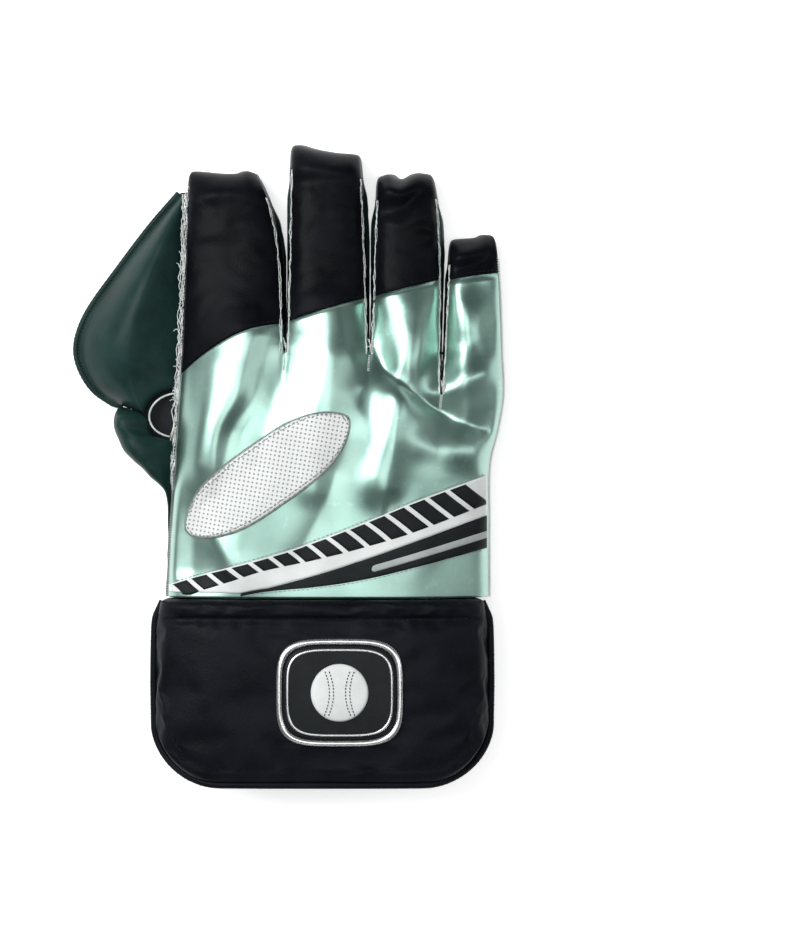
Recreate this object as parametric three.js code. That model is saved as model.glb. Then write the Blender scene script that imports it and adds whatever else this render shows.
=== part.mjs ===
// A right-hand wicketkeeping glove, lying palm down: a hollow leather and rubber glove with four
// finger stalls, a thumb stall, a catching web between index finger and thumb, and a padded cuff.
// Millimetres. +Z is up out of the back of the hand, +Y points to the fingertips, -X to the thumb.
// Lengths are laid out from the seam between hand and cuff (y = 0) and the slit between index and
// middle finger (x = 0); the finished group is then moved so that the middle of its box is the origin.

import * as THREE from "three";

// Hand
const handWidth = 172;
const palmLength = 129;
const fingerLength = 112;
const slitWidth = 5;

// Heights above the surface that the glove lies on
const wristHeight = 44;
const knuckleHeight = 47;
const fingerHeight = 30;
const sideSeamHeight = 16;
const crotchHeight = 36;
const tipSeamHeight = 6.5;
const tipRadius = 15;
const tipCorner = 7;

// Walls and clearances
const leather = 1.8;
const rubber = 3;
const trim = 0.8;
const clearance = 0.35;
const seamClearance = 0.6;
const drapeClearance = 0.95;
const foldDepth = 5;

// Thumb and web
const thumbReach = 31;
const thumbHeight = 29;
const webReach = 55;
const webLength = 114;
const webRise = 9;
const webSeamHeight = 12;
const webTopHeight = 8;
const armholeWidth = 17;
const armholeLength = 29;
const bindingRadius = 1.6;

// Cuff
const cuffLength = 96;
const cuffWidth = 176;
const cuffHeight = 53;
const cuffPad = 8;
const cuffCorner = 30;
const cuffPipingRadius = 1.7;

// Trim on the back and the cuff
const badgeWidth = 66;
const badgeHeight = 56;
const badgeRimWidth = 3;
const badgeBossRadius = 15;
const patchLength = 104;
const patchWidth = 34;
const patchTilt = 35;
const bandBlocks = 15;
const blockGap = 2.6;
const blockSlant = 0.8;
const greyLineWidth = 3.6;

const { lerp, clamp, smoothstep, degToRad } = THREE.MathUtils;
const group = new THREE.Group();

// Materials

function material(colour, roughness, metalness = 0) {
  return new THREE.MeshStandardMaterial({ color: colour, roughness, metalness });
}

const finishes = {
  silver: () => material(0x9fbfae, 0.32, 0.65),
  black: () => material(0x14171b, 0.45),
  green: () => material(0x16302c, 0.35, 0.1),
  rubber: () => material(0x20242b, 0.85),
  cuff: () => material(0x15171f, 0.4),
  light: () => material(0xdfe6e2, 0.5),
  rim: () => material(0xc4ccca, 0.25, 0.8),
  dark: () => material(0x1c2021, 0.5),
  grey: () => material(0x9aa5a2, 0.5),
};

// Surfaces and solids

// Smooth value of one column of a table, between the rows whose "along" lies on either side.
function follow(table, along, column) {
  const last = table.length - 1;
  if (along <= table[0].along) return table[0][column];
  if (along >= table[last].along) return table[last][column];
  const k = table.findIndex((row) => row.along > along) - 1;
  const slope = (a, b) => (table[b][column] - table[a][column]) / (table[b].along - table[a].along);
  const span = table[k + 1].along - table[k].along;
  const t = (along - table[k].along) / span;
  const startSlope = k === 0 ? slope(0, 1) : slope(k - 1, k + 1);
  const endSlope = k + 1 === last ? slope(k, k + 1) : slope(k, k + 2);
  const t2 = t * t;
  const t3 = t2 * t;
  return (
    (2 * t3 - 3 * t2 + 1) * table[k][column] +
    (t3 - 2 * t2 + t) * span * startSlope +
    (3 * t2 - 2 * t3) * table[k + 1][column] +
    (t3 - t2) * span * endSlope
  );
}

// An open surface of columns x rows cells. place(u, v) gives { at, inward }: the point, and the way
// to the inside of the wall where a seam sets it. u goes to the right and v away from the viewer for
// a surface that faces the viewer.
function gridSurface(columns, rows, place) {
  const points = [];
  const faces = [];
  for (let j = 0; j <= rows; j++) {
    for (let i = 0; i <= columns; i++) points.push(place(i / columns, j / rows, i, j));
  }
  const at = (i, j) => j * (columns + 1) + i;
  for (let j = 0; j < rows; j++) {
    for (let i = 0; i < columns; i++) {
      faces.push([at(i, j), at(i + 1, j), at(i + 1, j + 1)], [at(i, j), at(i + 1, j + 1), at(i, j + 1)]);
    }
  }
  return { points, faces };
}

// One surface out of several that share edge points.
function joinSurfaces(surfaces) {
  const points = [];
  const faces = [];
  const known = new Map();
  for (const surface of surfaces) {
    const renamed = surface.points.map((point) => {
      const key = point.at.toArray().map((value) => value.toFixed(3)).join(" ");
      if (!known.has(key)) {
        known.set(key, points.length);
        points.push({ ...point });
      }
      return known.get(key);
    });
    for (const face of surface.faces) faces.push(face.map((index) => renamed[index]));
  }
  return { points, faces };
}

function faceNormal(a, b, c) {
  return b.clone().sub(a).cross(c.clone().sub(a));
}

function bufferGeometry(positions, faces) {
  const geometry = new THREE.BufferGeometry();
  const flat = positions.flatMap((point) => point.toArray());
  geometry.setAttribute("position", new THREE.Float32BufferAttribute(flat, 3));
  geometry.setIndex(faces.flat());
  geometry.computeVertexNormals();
  return geometry;
}

// The solid between an open surface and an inner one, with a rim round every free edge.
function solidBetween(faces, outer, inner) {
  const edges = new Set(faces.flatMap(([a, b, c]) => [`${a} ${b}`, `${b} ${c}`, `${c} ${a}`]));
  const count = outer.length;
  const all = faces.map((face) => [...face]);
  for (const [a, b, c] of faces) all.push([a + count, c + count, b + count]);
  for (const edge of edges) {
    const [a, b] = edge.split(" ").map(Number);
    if (!edges.has(`${b} ${a}`)) all.push([a, a + count, b + count], [a, b + count, b]);
  }
  return bufferGeometry([...outer, ...inner], all);
}

// A wall of even thickness behind an open surface.
function wall(surface, thickness) {
  const outer = surface.points.map((point) => point.at);
  const normals = outer.map(() => new THREE.Vector3());
  for (const [a, b, c] of surface.faces) {
    const normal = faceNormal(outer[a], outer[b], outer[c]);
    for (const index of [a, b, c]) normals[index].add(normal);
  }
  const inner = surface.points.map((point, index) => {
    const way = point.inward ? point.inward.clone() : normals[index].negate();
    return point.at.clone().addScaledVector(way.normalize(), thickness);
  });
  return solidBetween(surface.faces, outer, inner);
}

function addPiece(name, geometry, finish) {
  const mesh = new THREE.Mesh(geometry, finishes[finish]());
  mesh.name = name;
  group.add(mesh);
}

// A round cord or binding of few sides along a smooth curve through the points.
function roundTube(points, radius, steps) {
  const sides = 6;
  const corner = (k) => (k * 2 * Math.PI) / sides;
  const ring = Array.from(
    { length: sides },
    (_, k) => new THREE.Vector2(radius * Math.cos(corner(k)), radius * Math.sin(corner(k)))
  );
  const path = new THREE.CatmullRomCurve3(points, false, "centripetal");
  const options = { steps, extrudePath: path, bevelEnabled: false };
  const geometry = new THREE.ExtrudeGeometry(new THREE.Shape(ring), options);
  geometry.deleteAttribute("uv");
  return geometry;
}

// Plan of the hand

// Outer edges of the hand, as shares of handWidth from x = 0, up the length of the palm.
const handEdges = [
  { along: 0, left: -0.377, right: 0.624 },
  { along: 0.3, left: -0.366, right: 0.624 },
  { along: 0.55, left: -0.355, right: 0.626 },
  { along: 0.7, left: -0.349, right: 0.652 },
  { along: 0.84, left: -0.342, right: 0.668 },
  { along: 1, left: -0.334, right: 0.664 },
  { along: 1.4, left: -0.322, right: 0.655 },
  { along: 1.8, left: -0.31, right: 0.648 },
];

// Slits between the fingers: where each one starts, as a share of palmLength, its place at that
// start, at the cuff and at the tips, as shares of handWidth, and its width at the tips.
const slits = [
  { start: 1, atCuff: -0.047, atStart: -0.006, atTip: -0.008, opening: 0.9 },
  { start: 1, atCuff: 0.203, atStart: 0.253, atTip: 0.254, opening: 1.5 },
  { start: 0.835, atCuff: 0.424, atStart: 0.474, atTip: 0.494, opening: 0.9 },
];

// Fingers: length beyond palmLength as a share of fingerLength, how much further the left corner
// of the tip reaches, how far the right edge leans in at the tip (share of handWidth), and the place
// of the colour seam at both edges (share of fingerLength beyond palmLength).
const fingers = [
  { name: "index", reach: 0.855, lean: 0.012, inset: 0.07, seamLeft: -0.1, seamRight: 0.145 },
  { name: "middle", reach: 0.97, lean: 0.04, inset: 0.006, seamLeft: 0.155, seamRight: 0.275 },
  { name: "ring", reach: 0.86, lean: -0.01, inset: 0.03, seamLeft: 0.275, seamRight: 0.36 },
  { name: "little", reach: 0.58, lean: -0.02, inset: 0.012, seamLeft: 0.355, seamRight: 0.395 },
];

const seamDip = 0.16 * palmLength;
const slitCurve = 1.1;
const insetCurve = 4;
const fingerReach = (finger) => palmLength + finger.reach * fingerLength;
const longestFinger = Math.max(...fingers.map((finger) => finger.reach)) * fingerLength;

function handEdge(side, y) {
  return handWidth * follow(handEdges, y / palmLength, side);
}

// Edge of a slit: side -1 is its left edge, +1 its right one, and they are one line below its start.
function slitEdge(slit, side, y) {
  const start = slit.start * palmLength;
  if (y <= start) return handWidth * lerp(slit.atCuff, slit.atStart, y / start);
  const share = (y - start) / longestFinger;
  const opening = slit.opening * slitWidth * Math.pow(share, slitCurve);
  return handWidth * lerp(slit.atStart, slit.atTip, share) + (side * opening) / 2;
}

function fingerEdge(k, side, y) {
  if (side < 0) return k === 0 ? handEdge("left", y) : slitEdge(slits[k - 1], 1, y);
  return k === fingers.length - 1 ? handEdge("right", y) : slitEdge(slits[k], -1, y);
}

// Height of the back

// Height of the crown over the length of the hand, as shares between the heights named above.
const crown = [
  { along: 0, height: wristHeight },
  { along: 0.35, height: lerp(wristHeight, knuckleHeight, 0.7) },
  { along: 0.8, height: knuckleHeight },
  { along: 1.05, height: lerp(knuckleHeight, fingerHeight, 0.25) },
  { along: 1.35, height: lerp(knuckleHeight, fingerHeight, 0.8) },
  { along: 1.8, height: fingerHeight },
];

// Main folds of the back: a line from one point to another, as shares of handWidth and palmLength,
// its half width as a share of handWidth, and its height as a share of foldDepth.
const folds = [
  { x0: 0.27, y0: 0.97, x1: 0.5, y1: 0.72, half: 0.042, height: -0.9 },
  { x0: 0.5, y0: 0.72, x1: 0.6, y1: 0.62, half: 0.038, height: -0.7 },
  { x0: -0.01, y0: 0.98, x1: -0.09, y1: 0.55, half: 0.05, height: -0.8 },
  { x0: -0.15, y0: 1.0, x1: -0.2, y1: 0.5, half: 0.045, height: -0.5 },
  { x0: -0.22, y0: 0.95, x1: -0.27, y1: 0.55, half: 0.045, height: 0.5 },
  { x0: 0.13, y0: 0.98, x1: 0.08, y1: 0.45, half: 0.05, height: 0.6 },
  { x0: 0.4, y0: 1.05, x1: 0.28, y1: 0.5, half: 0.05, height: 0.5 },
];

function foldHeight(x, y) {
  let height = 0;
  for (const fold of folds) {
    const start = new THREE.Vector2(fold.x0 * handWidth, fold.y0 * palmLength);
    const way = new THREE.Vector2(fold.x1 * handWidth, fold.y1 * palmLength).sub(start);
    const from = new THREE.Vector2(x, y).sub(start);
    const t = clamp(from.dot(way) / way.lengthSq(), 0, 1);
    const distance = from.sub(way.multiplyScalar(t)).length() / (fold.half * handWidth);
    height += fold.height * foldDepth * Math.exp(-distance * distance);
  }
  return height;
}

const roundness = 2.6;

// The hand as one wide arch, without its slits.
function archHeight(x, y) {
  const left = handEdge("left", y);
  const right = handEdge("right", y);
  const across = clamp((2 * (x - left)) / (right - left) - 1, -1, 1);
  const top = follow(crown, y / palmLength, "height");
  const arch = Math.pow(1 - Math.pow(Math.abs(across), roundness), 1 / roundness);
  const away = Math.min(1, 6 * (1 - Math.abs(across)));
  return sideSeamHeight + (top - sideSeamHeight) * arch + foldHeight(x, y) * away;
}

// How far the back dips towards a slit at its edge.
function slitDip(slit, x, y) {
  const start = slit.start * palmLength;
  const full = archHeight(x, start) - crotchHeight;
  if (y <= start) return full * smoothstep(y, start - 0.35 * palmLength, start);
  const fall = smoothstep(y, start, start + 0.45 * fingerLength);
  return lerp(full, archHeight(x, y) - sideSeamHeight, fall);
}

// Height of the back over finger k, u from its left edge to its right one, before its tip turns down.
function backHeight(k, u, x, y) {
  const leftDip = k === 0 ? 0 : slitDip(slits[k - 1], fingerEdge(k, -1, y), y);
  const rightDip = k === fingers.length - 1 ? 0 : slitDip(slits[k], fingerEdge(k, 1, y), y);
  const across = Math.abs(2 * u - 1);
  const soft = 0.5 - 0.5 * Math.cos(2 * Math.PI * u);
  const hard = Math.pow(1 - Math.pow(across, roundness), 1 / roundness);
  const bump = lerp(soft, hard, smoothstep(y, 0.8 * palmLength, 1.25 * palmLength));
  return archHeight(x, y) - lerp(leftDip, rightDip, u) * (1 - bump);
}

// Rows of a finger, as pairs of seam share and arc: first the palm, then the stretch to the colour
// seam, then the stretch to where the tip turns down, then the tip's quarter turn.
const palmRows = [0, 0.12, 0.24, 0.36, 0.48, 0.6, 0.72, 0.835, 0.92, 1];
const seamRows = [0, 0.35, 0.7, 1];
const shaftRows = [0, 0.25, 0.5, 0.75, 1];
const turnRows = [0.2, 0.4, 0.6, 0.8, 1];
const fingerColumns = 6;

function palmRowY(k, u, share) {
  const dip = k === 0 ? seamDip * Math.pow(share, 3) * (1 - u) * (1 - u) : 0;
  return share * palmLength - dip;
}

function seamY(k, u) {
  const finger = fingers[k];
  const bend = k === 0 ? 1 - (1 - u) * (1 - u) : u;
  return palmLength + fingerLength * lerp(finger.seamLeft, finger.seamRight, bend);
}

function tipY(k, u) {
  const finger = fingers[k];
  return fingerReach(finger) + finger.lean * fingerLength * (1 - u);
}

// A point of the back. The tip's quarter turn is given as a share from 0 to 1.
function backPoint(k, u, y, turn = 0) {
  const reach = fingerReach(fingers[k]);
  const bare = fingerEdge(k, -1, y);
  const past = clamp((y - palmLength) / (reach - palmLength), 0, 1);
  const inset = fingers[k].inset * handWidth * Math.pow(past, insetCurve);
  const corner = tipCorner * (1 - Math.sqrt(1 - Math.pow(turn, 4) * 0.96));
  const left = bare + corner;
  const right = fingerEdge(k, 1, y) - inset - corner;
  const x = lerp(left, right, u);
  const flat = backHeight(k, u, x, y);
  const drop = Math.cos((turn * Math.PI) / 2);
  const z = tipSeamHeight + (flat - tipSeamHeight) * drop;
  return new THREE.Vector3(x, y, z);
}

function turnY(k, u, turn) {
  const tip = tipY(k, u);
  return tip - tipRadius + tipRadius * Math.sin((turn * Math.PI) / 2);
}

// Which way the wall lies behind a seam on the edge of a finger.
function edgeWay(k, i, y, turn) {
  const way = new THREE.Vector3();
  if (i === 0 && (k === 0 || y > slits[k - 1].start * palmLength + 1e-6)) way.x = 1;
  const last = k === fingers.length - 1;
  if (i === fingerColumns && (last || y > slits[k].start * palmLength + 1e-6)) way.x = -1;
  if (turn === 1) way.y = -1;
  return way.lengthSq() > 0 ? way : null;
}

function surfaceRow(k, u, i, y, turn = 0) {
  return { at: backPoint(k, u, y, turn), inward: edgeWay(k, i, y, turn) };
}

function silverSurface(k) {
  const halfGap = clearance / 2;
  const palm = gridSurface(fingerColumns, palmRows.length - 1, (u, v, i, j) => {
    const y = palmRowY(k, u, palmRows[j]);
    return surfaceRow(k, u, i, j === 0 ? clearance : y);
  });
  const base = gridSurface(fingerColumns, seamRows.length - 1, (u, v, i, j) => {
    const y = lerp(palmRowY(k, u, 1), seamY(k, u) - halfGap, seamRows[j]);
    return surfaceRow(k, u, i, y);
  });
  return joinSurfaces([palm, base]);
}

function blackSurface(k) {
  const rows = shaftRows.length + turnRows.length - 1;
  return gridSurface(fingerColumns, rows, (u, v, i, j) => {
    if (j < shaftRows.length) {
      const y = lerp(seamY(k, u) + clearance / 2, turnY(k, u, 0), shaftRows[j]);
      return surfaceRow(k, u, i, y);
    }
    const turn = turnRows[j - shaftRows.length];
    return surfaceRow(k, u, i, turnY(k, u, turn), turn);
  });
}

// The edge of finger k from the palm to the middle of its tip, on its left (-1) or right (+1).
function edgePath(k, side) {
  const u = side < 0 ? 0 : 1;
  const path = [];
  const base = palmRowY(k, u, 1);
  for (const share of seamRows.slice(1)) {
    path.push(backPoint(k, u, lerp(base, seamY(k, u), share)));
  }
  for (const share of shaftRows.slice(1)) {
    path.push(backPoint(k, u, lerp(seamY(k, u), turnY(k, u, 0), share)));
  }
  for (const turn of turnRows) path.push(backPoint(k, u, turnY(k, u, turn), turn));
  for (let i = 1; i < fingerColumns / 2; i++) {
    const across = side < 0 ? i / fingerColumns : 1 - i / fingerColumns;
    path.push(backPoint(k, across, turnY(k, across, 1), 1));
  }
  const middle = 0.5 + (side * clearance) / handWidth;
  path.push(backPoint(k, middle, turnY(k, middle, 1), 1));
  return path;
}

// The edge of the palm of finger k, from the given share of palmLength up to the finger.
function palmEdgePath(k, side, fromShare) {
  const u = side < 0 ? 0 : 1;
  return palmRows
    .filter((share) => share > fromShare - 1e-6)
    .map((share) => backPoint(k, u, Math.max(clearance, palmRowY(k, u, share))));
}

// A side strip of leather that stands on the palm under an edge of the back. The path runs with the
// inside of the glove on its right.
function sideStrip(path) {
  const foot = rubber + clearance;
  const surface = gridSurface(path.length - 1, 1, (u, v, i) => {
    const before = path[Math.max(i - 1, 0)];
    const after = path[Math.min(i + 1, path.length - 1)];
    const way = after.clone().sub(before).setZ(0).normalize();
    const top = Math.max(path[i].z - seamClearance - path[i].extra, foot + 1);
    const at = new THREE.Vector3(path[i].x, path[i].y, v === 0 ? foot : top);
    return { at, inward: new THREE.Vector3(way.y, -way.x, 0) };
  });
  surface.faces = surface.faces.map(([a, b, c]) => [a, c, b]);
  return wall(surface, leather);
}

function withExtra(path, lowered = []) {
  path.forEach((point, index) => {
    point.extra = lowered.includes(index) ? leather : 0;
  });
  return path;
}

function addBack() {
  addPiece("back_panel", wall(joinSurfaces(fingers.map((_, k) => silverSurface(k))), leather), "silver");
  fingers.forEach((finger, k) => {
    addPiece(`finger_back_${finger.name}`, wall(blackSurface(k), leather), "black");
  });
}

function addSideStrips() {
  const indexSide = edgePath(0, -1);
  addPiece("gusset_index_side", sideStrip(withExtra(indexSide)), "black");
  slits.forEach((slit, k) => {
    const low = palmEdgePath(k, 1, slit.start);
    const high = palmEdgePath(k + 1, -1, slit.start).slice(1).reverse();
    const down = edgePath(k, 1).reverse();
    const path = [...down, ...low.reverse(), ...high.reverse(), ...edgePath(k + 1, -1)];
    const name = `fourchette_${fingers[k].name}_${fingers[k + 1].name}`;
    addPiece(name, sideStrip(withExtra(path, [down.length + low.length - 1])), "green");
  });
  const littleSide = [...palmEdgePath(3, 1, 0), ...edgePath(3, 1)].reverse();
  addPiece("gusset_little_side", sideStrip(withExtra(littleSide)), "green");
}

// Thumb, palm and web

// The back of the thumb, from the cuff to its tip. The outer contour lies at "along" (share of
// palmLength) and "reach" (share of thumbReach beyond the hand's edge), and the seam with the rubber
// at seamAlong and seamReach. crown is a share of thumbHeight. edge is where the leather ends on top:
// a share of palmLength up the edge of the back, or with arc a turn round the armhole.
const thumbRows = [
  { along: 0, reach: -0.08, seamAlong: 0, seamReach: -1.13, crown: 0.35, edge: 0 },
  { along: 0.16, reach: -0.05, seamAlong: 0.15, seamReach: -0.87, crown: 0.35, edge: 0.16 },
  { along: 0.31, reach: 0, seamAlong: 0.3, seamReach: -0.55, crown: 0.42, edge: 0.31 },
  { along: 0.42, reach: 0.1, seamAlong: 0.41, seamReach: -0.2, crown: 0.62, edge: 0.42 },
  { along: 0.5, reach: 0.4, seamAlong: 0.49, seamReach: 0.08, crown: 0.85, edge: 0.5 },
  { along: 0.58, reach: 0.77, seamAlong: 0.58, seamReach: 0.45, crown: 1, edge: 0.57 },
  { along: 0.655, reach: 0.98, seamAlong: 0.65, seamReach: 0.7, crown: 1, arc: 0 },
  { along: 0.71, reach: 1.07, seamAlong: 0.71, seamReach: 0.8, crown: 0.95, arc: 0.5 },
  { along: 0.755, reach: 1.08, seamAlong: 0.755, seamReach: 0.84, crown: 0.75, arc: 1 },
  { along: 0.79, reach: 1.04, seamAlong: 0.785, seamReach: 0.86, crown: 0.4, arc: 2 },
];

// Outer edge of the web, from the thumb to the index fingertip: share of webLength beyond the web's
// start, and share of webReach beyond the hand's edge.
const webRows = [
  { along: 0, reach: 0.6 },
  { along: 0.06, reach: 0.79 },
  { along: 0.147, reach: 0.93 },
  { along: 0.236, reach: 1.0 },
  { along: 0.33, reach: 0.99 },
  { along: 0.45, reach: 0.89 },
  { along: 0.64, reach: 0.625 },
  { along: 0.845, reach: 0.32 },
  { along: 1, reach: 0.055 },
];

const webStart = 0.8 * palmLength;
const armholeTop = edgePath(0, -1)[0].y;
const armholeMiddle = armholeTop - armholeLength / 2;
const armholeRimHeight = 20;
const floorSkin = 0.3;

function besideHand(reach, y, z) {
  return new THREE.Vector3(handEdge("left", y) - reach, y, z);
}

// Edge of the armhole: turn 0 is its foot on the hand's edge, 1 its outer end, 2 its top.
function armholeEdge(turn, z) {
  const angle = (turn * Math.PI) / 2;
  const y = armholeMiddle - (armholeLength / 2) * Math.cos(angle);
  return besideHand(clearance + armholeWidth * Math.sin(angle), y, z);
}

function thumbInnerEdge(row) {
  if (row.edge !== undefined) {
    const y = Math.max(clearance, row.edge * palmLength);
    return besideHand(clearance, y, sideSeamHeight - seamClearance);
  }
  if (row.arc < 2) return armholeEdge(row.arc, lerp(sideSeamHeight, armholeRimHeight, row.arc));
  return besideHand(row.reach * thumbReach - leather, row.along * palmLength, tipSeamHeight);
}

function thumbSeam(row) {
  const y = Math.max(clearance, row.seamAlong * palmLength);
  return besideHand(row.seamReach * thumbReach, y, floorSkin);
}

// Height of a curve's handle for each unit that the curve is to rise.
const handleRise = 1.7;

// Point of a row of the thumb, t from the rubber seam over the outside to the inner edge.
function thumbSection(row, t) {
  const seam = thumbSeam(row);
  const inner = thumbInnerEdge(row);
  const y = Math.max(clearance, row.along * palmLength);
  const contour = besideHand(row.reach * thumbReach, y, 0);
  const ends = seam.clone().add(inner).multiplyScalar(1 / 8);
  const low = contour.clone().sub(ends).multiplyScalar(4 / 3);
  const high = low.clone();
  low.z = floorSkin;
  high.z = handleRise * row.crown * thumbHeight;
  return new THREE.CubicBezierCurve3(seam, low, high, inner).getPoint(t);
}

function addThumb() {
  const rows = thumbRows.length - 1;
  const surface = gridSurface(9, rows, (u, v, i, j) => {
    const inward = i === 0 ? new THREE.Vector3(0, 0, 1) : null;
    return { at: thumbSection(thumbRows[j], u), inward };
  });
  addPiece("thumb_back", wall(surface, leather), "green");
}

// The web between its outer edge (u = 0) and the index finger (u = 1), v from the thumb upward. The
// foot is a curve from the outer edge to the finger, and rise the height of the web's crown.
function webPoint(u, v, sheet) {
  const outer = (t) => {
    const reach = follow(webRows, t, "reach") * webReach;
    return besideHand(reach, webStart + t * webLength, sheet.outerHeight);
  };
  const inner = (t) => {
    const y = lerp(sheet.foot(1).y, webStart + webLength, t);
    return besideHand(clearance, y, lerp(sheet.innerHeight, sheet.topHeight, t));
  };
  const across = outer(v).lerp(inner(v), u);
  const up = sheet.foot(u).lerp(outer(1).lerp(inner(1), u), v);
  const corners = outer(0).lerp(inner(0), u).lerp(outer(1).lerp(inner(1), u), v);
  const point = across.add(up).sub(corners);
  point.z += sheet.rise * Math.sin(Math.PI * u) * Math.pow(Math.sin(Math.PI * clamp(v, 0, 1)), 0.6);
  return point;
}

function webOuterStart(z) {
  return besideHand(webRows[0].reach * webReach, webStart, z);
}

const webEdgeHeight = 2 * leather + floorSkin + 3 * clearance;

const webBack = {
  outerHeight: webEdgeHeight,
  innerHeight: webSeamHeight,
  topHeight: webTopHeight,
  rise: webRise,
  foot: (u) => {
    const start = webOuterStart(webEdgeHeight);
    const rim = armholeEdge(1, armholeRimHeight);
    rim.y += clearance + seamClearance;
    if (u <= 0.5) return start.lerp(rim, u * 2);
    const height = lerp(rim.z, webSeamHeight, u * 2 - 1);
    const point = armholeEdge(u * 2, height);
    point.y = lerp(rim.y, armholeTop, (point.y - armholeMiddle) / (armholeTop - armholeMiddle));
    return point;
  },
};

const palmCorner = { along: 0.875, reach: 0.86 };

const webFace = {
  outerHeight: floorSkin,
  innerHeight: floorSkin,
  topHeight: floorSkin,
  rise: 0.35 * webRise,
  foot: (u) => {
    const start = webOuterStart(floorSkin);
    const cornerY = palmCorner.along * palmLength + clearance;
    const corner = besideHand(palmCorner.reach * thumbReach, cornerY, floorSkin);
    const end = besideHand(clearance, armholeTop + clearance, floorSkin);
    return u <= 0.4 ? start.lerp(corner, u / 0.4) : corner.lerp(end, (u - 0.4) / 0.6);
  },
};

function addWeb() {
  const cells = 10;
  const place = (sheet, down) => (u, v, i, j) => {
    const free = i === 0 || j === 0 || i === cells || j === cells;
    return { at: webPoint(u, v, sheet), inward: free ? new THREE.Vector3(0, 0, -down) : null };
  };
  addPiece("web_back", wall(gridSurface(cells, cells, place(webBack, 1)), leather), "green");
  const face = gridSurface(cells, cells, place(webFace, -1));
  face.faces = face.faces.map(([a, b, c]) => [a, c, b]);
  addPiece("web_face", wall(face, leather), "rubber");
  const edge = Array.from({ length: cells + 1 }, (_, j) => {
    const reach = follow(webRows, j / cells, "reach") * webReach + bindingRadius + 2 * seamClearance;
    return besideHand(reach, webStart + (j / cells) * webLength, webEdgeHeight / 2);
  });
  addPiece("web_binding", roundTube(edge, bindingRadius, 32), "green");
  const hole = [0.12, 0.4, 0.7, 1, 1.3, 1.6, 1.88].map((turn) => {
    const point = armholeEdge(turn, lerp(sideSeamHeight, armholeRimHeight, Math.sin((turn * Math.PI) / 2)));
    const away = bindingRadius + 2 * seamClearance;
    point.x += Math.sin((turn * Math.PI) / 2) * away;
    point.y += Math.cos((turn * Math.PI) / 2) * away;
    return point;
  });
  addPiece("armhole_binding", roundTube(hole, bindingRadius * 0.8, 20), "light");
}

// Light patch let into the palm at the root of the thumb: length and along are shares of
// palmLength, width and across of handWidth, and tilt is in degrees.
const palmPatch = { length: 0.287, width: 0.052, along: 0.727, across: -0.208, tilt: -31.5 };

function palmPatchCorners(margin) {
  const turn = degToRad(palmPatch.tilt);
  const half = new THREE.Vector2(palmPatch.length * palmLength, palmPatch.width * handWidth);
  half.multiplyScalar(0.5).addScalar(margin);
  return [[-1, -1], [1, -1], [1, 1], [-1, 1]].map(([a, b]) => {
    const corner = new THREE.Vector2(a * half.x, b * half.y).rotateAround(new THREE.Vector2(), turn);
    return corner.add(new THREE.Vector2(palmPatch.across * handWidth, palmPatch.along * palmLength));
  });
}

function addPalm() {
  const flat = (point) => new THREE.Vector2(point.x, point.y);
  const seam = thumbRows.map((row) => flat(thumbSeam(row)).add(new THREE.Vector2(seamClearance, 0)));
  const corner = flat(besideHand(palmCorner.reach * thumbReach, palmCorner.along * palmLength, 0));
  const outline = [...seam, corner, ...edgePath(0, -1).map(flat)];
  slits.forEach((slit, k) => {
    outline.push(...edgePath(k, 1).reverse().map(flat));
    outline.push(...palmEdgePath(k, 1, slit.start).reverse().map(flat));
    outline.push(...palmEdgePath(k + 1, -1, slit.start).slice(1).map(flat));
    outline.push(...edgePath(k + 1, -1).map(flat));
  });
  const last = fingers.length - 1;
  outline.push(...edgePath(last, 1).reverse().map(flat));
  outline.push(...palmEdgePath(last, 1, 0).reverse().map(flat));
  const shape = new THREE.Shape(outline);
  shape.holes.push(new THREE.Path(palmPatchCorners(clearance)));
  const options = { depth: rubber, bevelEnabled: false };
  addPiece("palm_face", new THREE.ExtrudeGeometry(shape, options), "rubber");
  addPiece("palm_patch", new THREE.ExtrudeGeometry(new THREE.Shape(palmPatchCorners(0)), options), "light");
}

// Cuff

const cuffMiddle = 0.107 * handWidth;
const cuffRoundness = 3.2;

// Width of the cuff down its length, and the swell of its padding as a share of cuffPad: the roll at
// its top, the stitched groove under it, and the stuffed field that thins out towards the hem.
const cuffRows = [
  { along: 0, width: 0.965, swell: 0.05 },
  { along: 0.03, width: 0.975, swell: 0.36 },
  { along: 0.08, width: 0.985, swell: 0.34 },
  { along: 0.105, width: 0.99, swell: 0.02 },
  { along: 0.15, width: 0.995, swell: 0.22 },
  { along: 0.35, width: 1, swell: 0.36 },
  { along: 0.65, width: 1, swell: 0.34 },
  { along: 0.88, width: 0.99, swell: 0.2 },
  { along: 1, width: 0.98, swell: 0.05 },
];
const cuffSteps = [0, 0.03, 0.08, 0.105, 0.15, 0.3, 0.5, 0.7, 0.88, 1];
const cuffColumns = 16;

function cuffHalfWidth(y) {
  return (cuffWidth / 2) * follow(cuffRows, -y / cuffLength, "width");
}

// Lower edge of a cuff pad, with its round corners.
function cuffHem(x) {
  const straight = cuffWidth / 2 - cuffCorner;
  const past = clamp((Math.abs(x - cuffMiddle) - straight) / cuffCorner, 0, 1);
  return -cuffLength + cuffCorner * (1 - Math.sqrt(1 - past * past));
}

// Half section of the cuff at y, moved inward by inset: half width and half height.
function cuffHalfSection(y, inset) {
  const swell = cuffPad * (follow(cuffRows, -y / cuffLength, "swell") - 0.36);
  return { width: cuffHalfWidth(y) - inset, height: cuffHeight / 2 + swell - inset };
}

function cuffTopHeight(x, y, inset = 0) {
  const half = cuffHalfSection(y, inset);
  const across = Math.min(1, Math.abs(x - cuffMiddle) / half.width);
  return cuffHeight / 2 + half.height * Math.pow(1 - Math.pow(across, cuffRoundness), 1 / cuffRoundness);
}

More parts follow.
